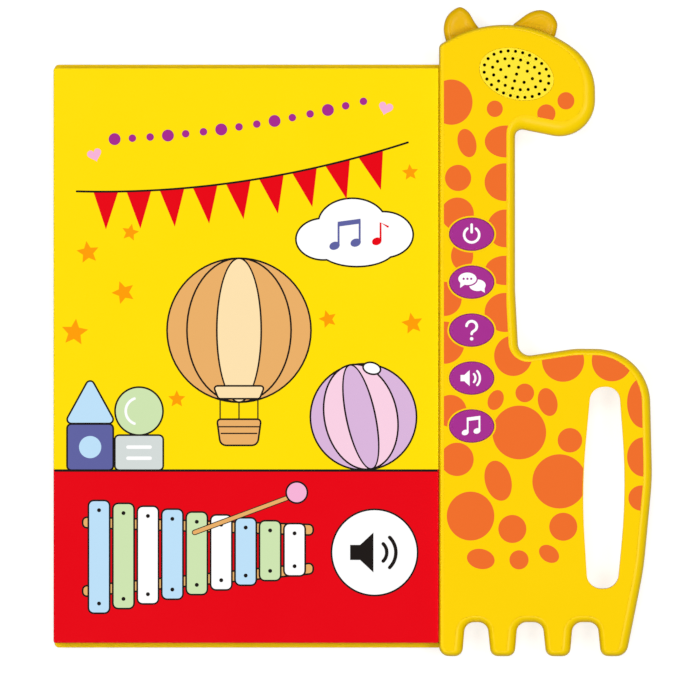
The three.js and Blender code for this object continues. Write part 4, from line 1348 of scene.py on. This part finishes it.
def balloon(x, y, radius):
    rim = y - radius * 0.92
    basket = [
        (x - 8, rim - 22, 2.5), (x + 8, rim - 22, 2.5),
        (x + 9.5, rim - 11, 1), (x - 9.5, rim - 11, 1),
    ]
    skirt = [
        (x - 9, rim - 1, 0.8), (x + 9, rim - 1, 0.8), (x + 11, rim + 4, 0.8), (x - 11, rim + 4, 0.8),
    ]
    weave = [
        line_mark(polygon((x - 9 + row, rim - 14 - 3 * row), (x + 9 - row, rim - 14 - 3 * row)), ROPE)
        for row in range(2)
    ]
    ropes = [
        line_mark(polygon((x + side, rim - 1), (x + side, rim - 12)), ROPE) for side in (-8.5, 0.0, 8.5)
    ]
    gores = [
        round_toy(x, y, radius * share, radius, colour)
        for share, colour in ((0.3, "cream"), (0.72, "tan"), (1.0, "tan"))
    ]
    return stack(weave, cornered_toy(basket, "tan"), cornered_toy(skirt, "cream"), *gores, ropes)


def ball(x, y, radius):
    knob = round_toy(x + radius * 0.16, y + radius * 0.93, 3.6, 2.2, "white", -14)
    stripes = [
        round_toy(x - 0.05 * radius, y, radius * width, radius, colour, 12)
        for width, colour in ((0.26, "lilac"), (0.68, "pink"))
    ]
    return stack(knob, *stripes, round_toy(x, y, radius, radius, "lilac"))


def note_head(x, y, half_width, half_height, colour):
    return (oval(x, y, half_width, half_height, 20, 32), INKS[colour])


def cloud(x, y):
    puffs = [(-13, -2, 12, 9), (0, 5, 15, 11), (14, 0, 13, 10), (2, -6, 17, 8)]
    fills, lines = [
        [(oval(x + dx, y + dy, wide + grow, high + grow), INKS[colour]) for dx, dy, wide, high in puffs]
        for grow, colour in ((0.0, "white"), (LINE, "black"))
    ]
    beam = polygon((x - 6.6, y + 3.6), (x + 3.7, y + 5), (x + 3.7, y + 7.2), (x - 6.6, y + 5.8))
    flag = polygon((x + 12.7, y - 2.6), (x + 12.7, y + 5.4), (x + 16, y + 3.6))
    notes = [
        note_head(x - 8, y - 5, 2.4, 1.8, "indigo"), note_head(x + 1.5, y - 3.6, 2.4, 1.8, "indigo"),
        line_mark(polygon((x - 6.2, y - 4.6), (x - 6.2, y + 5)), 0.9, "indigo"),
        line_mark(polygon((x + 3.3, y - 3.2), (x + 3.3, y + 6.4)), 0.9, "indigo"),
        (beam, INKS["indigo"]), note_head(x + 11, y - 3, 2.2, 1.7, "red"), line_mark(flag, 0.9, "red"),
    ]
    return notes + fills + lines


print("layers in the balloon, ball and cloud:", len(balloon(0, 0, 32) + ball(0, 0, 20) + cloud(0, 0)))

# %% Toys on the floor
BLOCK_CORNER = 1.5
BARS = 9
BAR_PITCH = 11
BAR_COLOURS = ("blue", "green", "white")


def blocks():
    floor = FLOOR_LINE
    marks = [
        (disc(-157, floor + 10, 5), INKS["blue"]),
        *[line_mark(polygon((-140, floor + up), (-130, floor + up)), 1.6, "white") for up in (5, 10)],
        line_mark(arc_path(-135, floor + 26.2, 6, 110, 250), 1.2, "white"),
    ]
    roof = [(x, floor + up, BLOCK_CORNER) for x, up in ((-168, 21), (-146, 21), (-157, 41))]
    return stack(
        marks,
        cornered_toy(oblong_corners(-167, -147, floor, floor + 20, BLOCK_CORNER), "indigo"),
        cornered_toy(oblong_corners(-145.5, -124.5, floor, floor + 15, BLOCK_CORNER), "grey"),
        cornered_toy(roof, "blue"),
        round_toy(-135, floor + 26.2, 10.4, 10.4, "green"),
    )


def xylophone():
    """Bars from long to short on two rails, on the red floor."""
    layers = []
    for bar in range(BARS):
        x = -153 + bar * BAR_PITCH
        half = 25 - bar * 1.7
        middle = 41 + bar * 0.4
        for end in (-1, 1):
            layers.append((disc(x, middle + end * (half - 4), 0.9, 20), INKS["black"]))
        corners = oblong_corners(x - 4.4, x + 4.4, middle - half, middle + half, 2)
        layers += cornered_toy(corners, BAR_COLOURS[bar % 3])
    for share in (-0.62, 0.62):
        left, right = 41 + share * 25, 44.5 + share * 14
        layers += cornered_toy([
            (-160, left - 2, 1.5), (-57, right - 2, 1.5), (-57, right + 2, 1.5), (-160, left + 2, 1.5),
        ], "tan")
    return layers


def mallet():
    stick = polygon((-67, 68), (-110, 52))
    return round_toy(-64, 70, 4.4, 4.4, "rose") + [line_mark(stick, 1.7, "tan"), line_mark(stick, 2.5)]


def badge(x, y, radius):
    """A white disc with a loudspeaker sign."""
    horn = [(-11, -3.4), (-6.5, -3.4), (-0.5, -9), (-0.5, 9), (-6.5, 3.4), (-11, 3.4)]
    waves = [line_mark(arc_path(x, y, reach, -45, 45), 1.6) for reach in (5.5, 9.6)]
    sign = (polygon(*[(x + dx, y + dy) for dx, dy in horn]), INKS["black"])
    return [sign, *waves, *round_toy(x, y, radius, radius, "white")]


print("layers in the xylophone:", len(xylophone()))

# %% [markdown]
# ## The printed sheet
# On the real cover the picture is printed on the paper round the board. Here it is a very
# thin sheet on top of the board, made like the giraffe's film. The toys stand before the
# floor in the list of layers, so each keeps its whole outline.

# %% The printed sheet
FLOOR_INK = 1.1
STARS = [
    (-158, 178, 5.2, 8), (-139, 187, 4.0, -12), (-142, 160, 5.4, 20), (-13, 214, 3.8, 5),
    (-164, 142, 6.2, -6), (-12, 146, 5.0, 10), (-50, 148, 4.2, 16), (-118, 112, 4.0, 0),
]
PRINT_INSET = 0.02
PRINT_LIFT = 0.03


def cover_layers():
    left, right = -COVER_REACH - 1, 1.0
    edge = oblong(left, right, FLOOR_LINE - FLOOR_INK, FLOOR_LINE)
    floor = oblong(left, right, 0, FLOOR_LINE - FLOOR_INK)
    return [
        *mallet(), *xylophone(), *badge(-29, 43, 19), *bunting(), *bead_string(),
        heart(-155, 222, 3.4, 18), heart(-24, 243, 3.4, -16), *cloud(-39, 186), *balloon(-90, 143, 32),
        *ball(-34, 104, 23.5), *blocks(), *[star(*one) for one in STARS],
        (edge, INKS["black"]), (floor, INKS["red"]),
    ]


cover_print = colour_sheet(
    "cover_print", cover_outline(COVER_ROUND + PRINT_INSET), [], cover_layers(),
    COVER_TOP - PRINT_LIFT, COVER_TOP + PRINT_LIFT, INKS["yellow"],
)
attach(cover_print, "front_cover")
print("cover print faces:", len(cover_print.data.polygons))

# %% [markdown]
# ## Boards, leaves and the battery door
# The remaining visible pieces already have their shape in the working model. A copy with
# its corners merged gets small round edges, because a sharp edge gives no highlight.

# %% Pieces with softened edges
def softened(node, body, width, material):
    form = bmesh.new()
    form.from_mesh(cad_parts[node].data)
    bmesh.ops.remove_doubles(form, verts=form.verts, dist=1e-6)
    bmesh.ops.dissolve_limit(form, angle_limit=math.radians(1), verts=form.verts, edges=form.edges)
    piece = make_object(node + "_soft", to_mesh(node + "_soft", form), material)
    rounding = piece.modifiers.new("edge", "BEVEL")
    rounding.width = width * MM
    rounding.segments = 3
    rounding.limit_method = "ANGLE"
    rounding.harden_normals = False
    settle(piece)
    smooth(one_material(piece, material), CLEAN_ANGLE)
    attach(piece, body)
    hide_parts(node)


softened("spine_strip", "housing", 0.7, SPINE)
softened("back_board", "housing", 0.5, SPINE)
softened("page_block", "housing", 0.06, CARD)
softened("battery_door", "housing", 0.2, SHELL)
print("softened pieces ready")

# %% [markdown]
# ## Screws
# Six pan-head screws with a cross recess close the housing. One is modelled with its
# recess, and Geometry Nodes set a copy on each place, each turned by chance, as real
# screws are. The seed is fixed, so that the turns are the same each time.

# %% A screw and the group that places it
SCREW_PROFILE = [
    (0.02, 0.0), (1.9, 0.0), (2.4, 0.25), (2.75, 0.8), (2.8, 1.6), (1.3, 1.6), (1.3, 12.0), (0.9, 13.4),
]
RECESS_LONG = 1.5
RECESS_WIDE = 0.32
RECESS_DEPTH = 0.8
TURN_SEED = 4


def at_origin(loop):
    """A loop moved so that the shift home brings its middle to the origin."""
    return [point - Vector((SHIFT.x, SHIFT.y)) / MM for point in loop]


def screw_form():
    rings = [
        (at_origin(disc(0, 0, radius, SCREW_SEGMENTS)), height) for radius, height in SCREW_PROFILE
    ]
    head = loft("screw_form", rings, STEEL)
    bars = [
        oblong(-long, long, -wide, wide)
        for long, wide in ((RECESS_LONG, RECESS_WIDE), (RECESS_WIDE, RECESS_LONG))
    ]
    combine(head, [prism("recess", at_origin(bar), -PAST, RECESS_DEPTH) for bar in bars], "DIFFERENCE")
    return one_material(head, STEEL)


def screw_tree():
    tree, keys, given = new_tree("screws_on_points", [
        ("Screw", "Object", None), ("Seed", "Int", TURN_SEED), ("Finish", "Material", None),
    ])
    info = add_node(tree, "GeometryNodeObjectInfo", {}, {"Object": given.outputs["Screw"]})
    chance = add_node(tree, "FunctionNodeRandomValue", {"data_type": "FLOAT"}, {
        2: 0.0, 3: math.pi, "Seed": given.outputs["Seed"],
    })
    turn = add_node(tree, "ShaderNodeCombineXYZ", {}, {"Z": chance.outputs[1]})
    placed = add_node(tree, "GeometryNodeInstanceOnPoints", {}, {
        "Points": given.outputs["Geometry"], "Instance": info.outputs["Geometry"],
        "Rotation": turn.outputs[0],
    })
    finish_tree(tree, given, placed)
    return tree, keys


print("recess of", 2 * RECESS_LONG, "mm in a head of", 2 * HEAD_RADIUS, "mm")

# %% Housing screws
SCREW_SINK = 0.4


def housing_screws():
    mesh = bpy.data.meshes.new("housing_screws")
    mesh.from_pydata([home(Vector(place), SCREW_SINK) for place in SCREWS], [], [])
    piece = make_object("housing_screws", mesh, STEEL)
    form = screw_form()
    tree, keys = screw_tree()
    run_tree(piece, tree, keys, {"Screw": form, "Seed": TURN_SEED, "Finish": STEEL})
    bpy.data.objects.remove(form)
    return smooth(one_material(piece, STEEL), CLEAN_ANGLE)


screws = housing_screws()
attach(screws, "housing")
for number in range(1, len(SCREWS) + 1):
    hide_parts(f"housing_screw_{number}")
print("screw faces:", len(screws.data.polygons))

# %% [markdown]
# ## Inner pieces
# What lies inside the housing is seen only through the grille or when the model is taken
# apart. Its shapes stay as the working model has them, and each gets the finish of its
# stuff, except behind the grille: the speaker's frame gets black resin in place of steel,
# and its cone a dark olive, which is partly painted shade that keeps the grille's holes dark.

# %% Finishes for the inner pieces
INNER = {
    "front_endpaper": CARD, "sensor_sheet": SENSOR, "sensor_ribbon": SENSOR, "keypad": RUBBER,
    # The speaker frame's black resin, in place of steel, is partly painted shade in the grille's holes.
    "circuit_board": LAMINATE, "sound_chip": RESIN, "speaker_frame": RESIN, "speaker_cone": CONE,
    "speaker_magnet": STEEL, "battery_1": CELL, "battery_2": CELL, "battery_3": CELL,
    "contact_plate_left": STEEL, "contact_plate_right": STEEL, "speaker_lead": LEAD,
    "battery_lead": LEAD, "door_screw": STEEL,
}
for node, material in INNER.items():
    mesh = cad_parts[node].data
    mesh.materials.clear()
    mesh.materials.append(material)
print("inner pieces finished:", len(INNER))

# %% [markdown]
# ## Studio
# A white table, a weak even sky and four broad lamps round the view, so that faces turned
# up are bright and round edges fall off. The table gives its own white to the camera only,
# so it throws no extra light on the object, and the object's shadow still lies on it.

# %% Table, lamps and sky
TABLE_HALF = 3.0
TABLE_DROP = 0.0002
TABLE_GLOW = 0.68
SKY_STRENGTH = 0.15
LAMP_SIZE = 0.5
LAMPS = {
    "left": ((-0.75, 0.1, 1.6), 8.2),
    "head": ((0.1, 0.75, 1.6), 7.8),
    "right": ((0.75, -0.1, 1.6), 7.8),
    "foot": ((-0.1, -0.75, 1.6), 6.8),
}


def white_table():
    paint = Paint("table_white", (0.5, 0.5, 0.5), 0.8, Specular_IOR_Level=0.1)
    seen = paint.node("ShaderNodeLightPath", {}, {}, "Is Camera Ray")
    paint.set("Emission Color", paint.mix(seen, (0.0, 0.0, 0.0), (1.0, 1.0, 1.0)))
    paint.set("Emission Strength", TABLE_GLOW)
    return paint.material


def table():
    mesh = bpy.data.meshes.new("table")
    corners = oblong(-TABLE_HALF, TABLE_HALF, -TABLE_HALF, TABLE_HALF)
    mesh.from_pydata([(*corner, 0.0) for corner in corners], [], [(0, 1, 2, 3)])
    piece = make_object("table", mesh, white_table())
    piece.location.z = -TABLE_DROP


def lamp(name, place, power):
    light = bpy.data.lights.new(name, "AREA")
    light.shape = "SQUARE"
    light.size = LAMP_SIZE
    light.energy = power
    holder = bpy.data.objects.new(name, light)
    holder.location = place
    holder.rotation_euler = (-Vector(place)).to_track_quat("-Z", "Y").to_euler()
    bpy.context.scene.collection.objects.link(holder)


def sky():
    world = bpy.data.worlds.new("sky")
    world.use_nodes = True
    background = world.node_tree.nodes["Background"]
    background.inputs["Color"].default_value = (1.0, 1.0, 1.0, 1.0)
    background.inputs["Strength"].default_value = SKY_STRENGTH
    bpy.context.scene.world = world


table()
for name, (place, power) in LAMPS.items():
    lamp(name, place, power)
sky()
print("lamps lit:", len(LAMPS))

# %% [markdown]
# ## Camera
# The photograph looks straight down at the book, a trifle from the right, through a long
# lens. The camera's aim is worked out from where the seam and the foot of the tray are in
# the picture, so that the render can be laid over it.

# %% Camera
PIXEL = 0.45
SEAM_PIXEL = 439.0
FOOT_PIXEL = 648.0
FRAME_PIXELS = 700.0
SENSOR_WIDTH = 36.0
CAMERA_DISTANCE = 8.0
CAMERA_RIGHT = 0.5
CLIP_END = 20.0


def camera():
    middle = FRAME_PIXELS / 2
    target = Vector(home(Vector(((middle - SEAM_PIXEL) * PIXEL, (FOOT_PIXEL - middle) * PIXEL)), COVER_TOP))
    away = Vector((math.sin(math.radians(CAMERA_RIGHT)), 0.0, 0.0))
    away.z = math.sqrt(1 - away.length_squared)
    across = Vector((0.0, 1.0, 0.0)).cross(away).normalized()
    up = away.cross(across)
    lens = bpy.data.cameras.new("camera")
    lens.sensor_width = SENSOR_WIDTH
    lens.lens = SENSOR_WIDTH * CAMERA_DISTANCE / (FRAME_PIXELS * PIXEL * MM)
    lens.clip_end = CLIP_END
    view = bpy.data.objects.new("camera", lens)
    turn = Matrix((across, up, away)).transposed().to_4x4()
    view.matrix_world = Matrix.Translation(target + away * CAMERA_DISTANCE) @ turn
    bpy.context.scene.collection.objects.link(view)
    bpy.context.scene.camera = view
    return lens.lens


print("focal length:", round(camera()), "mm")
bpy.context.scene.view_settings.view_transform = "Standard"

# %% [markdown]
# ## The end
# The scene is built: pieces, finishes, studio and camera.


print("scene built")
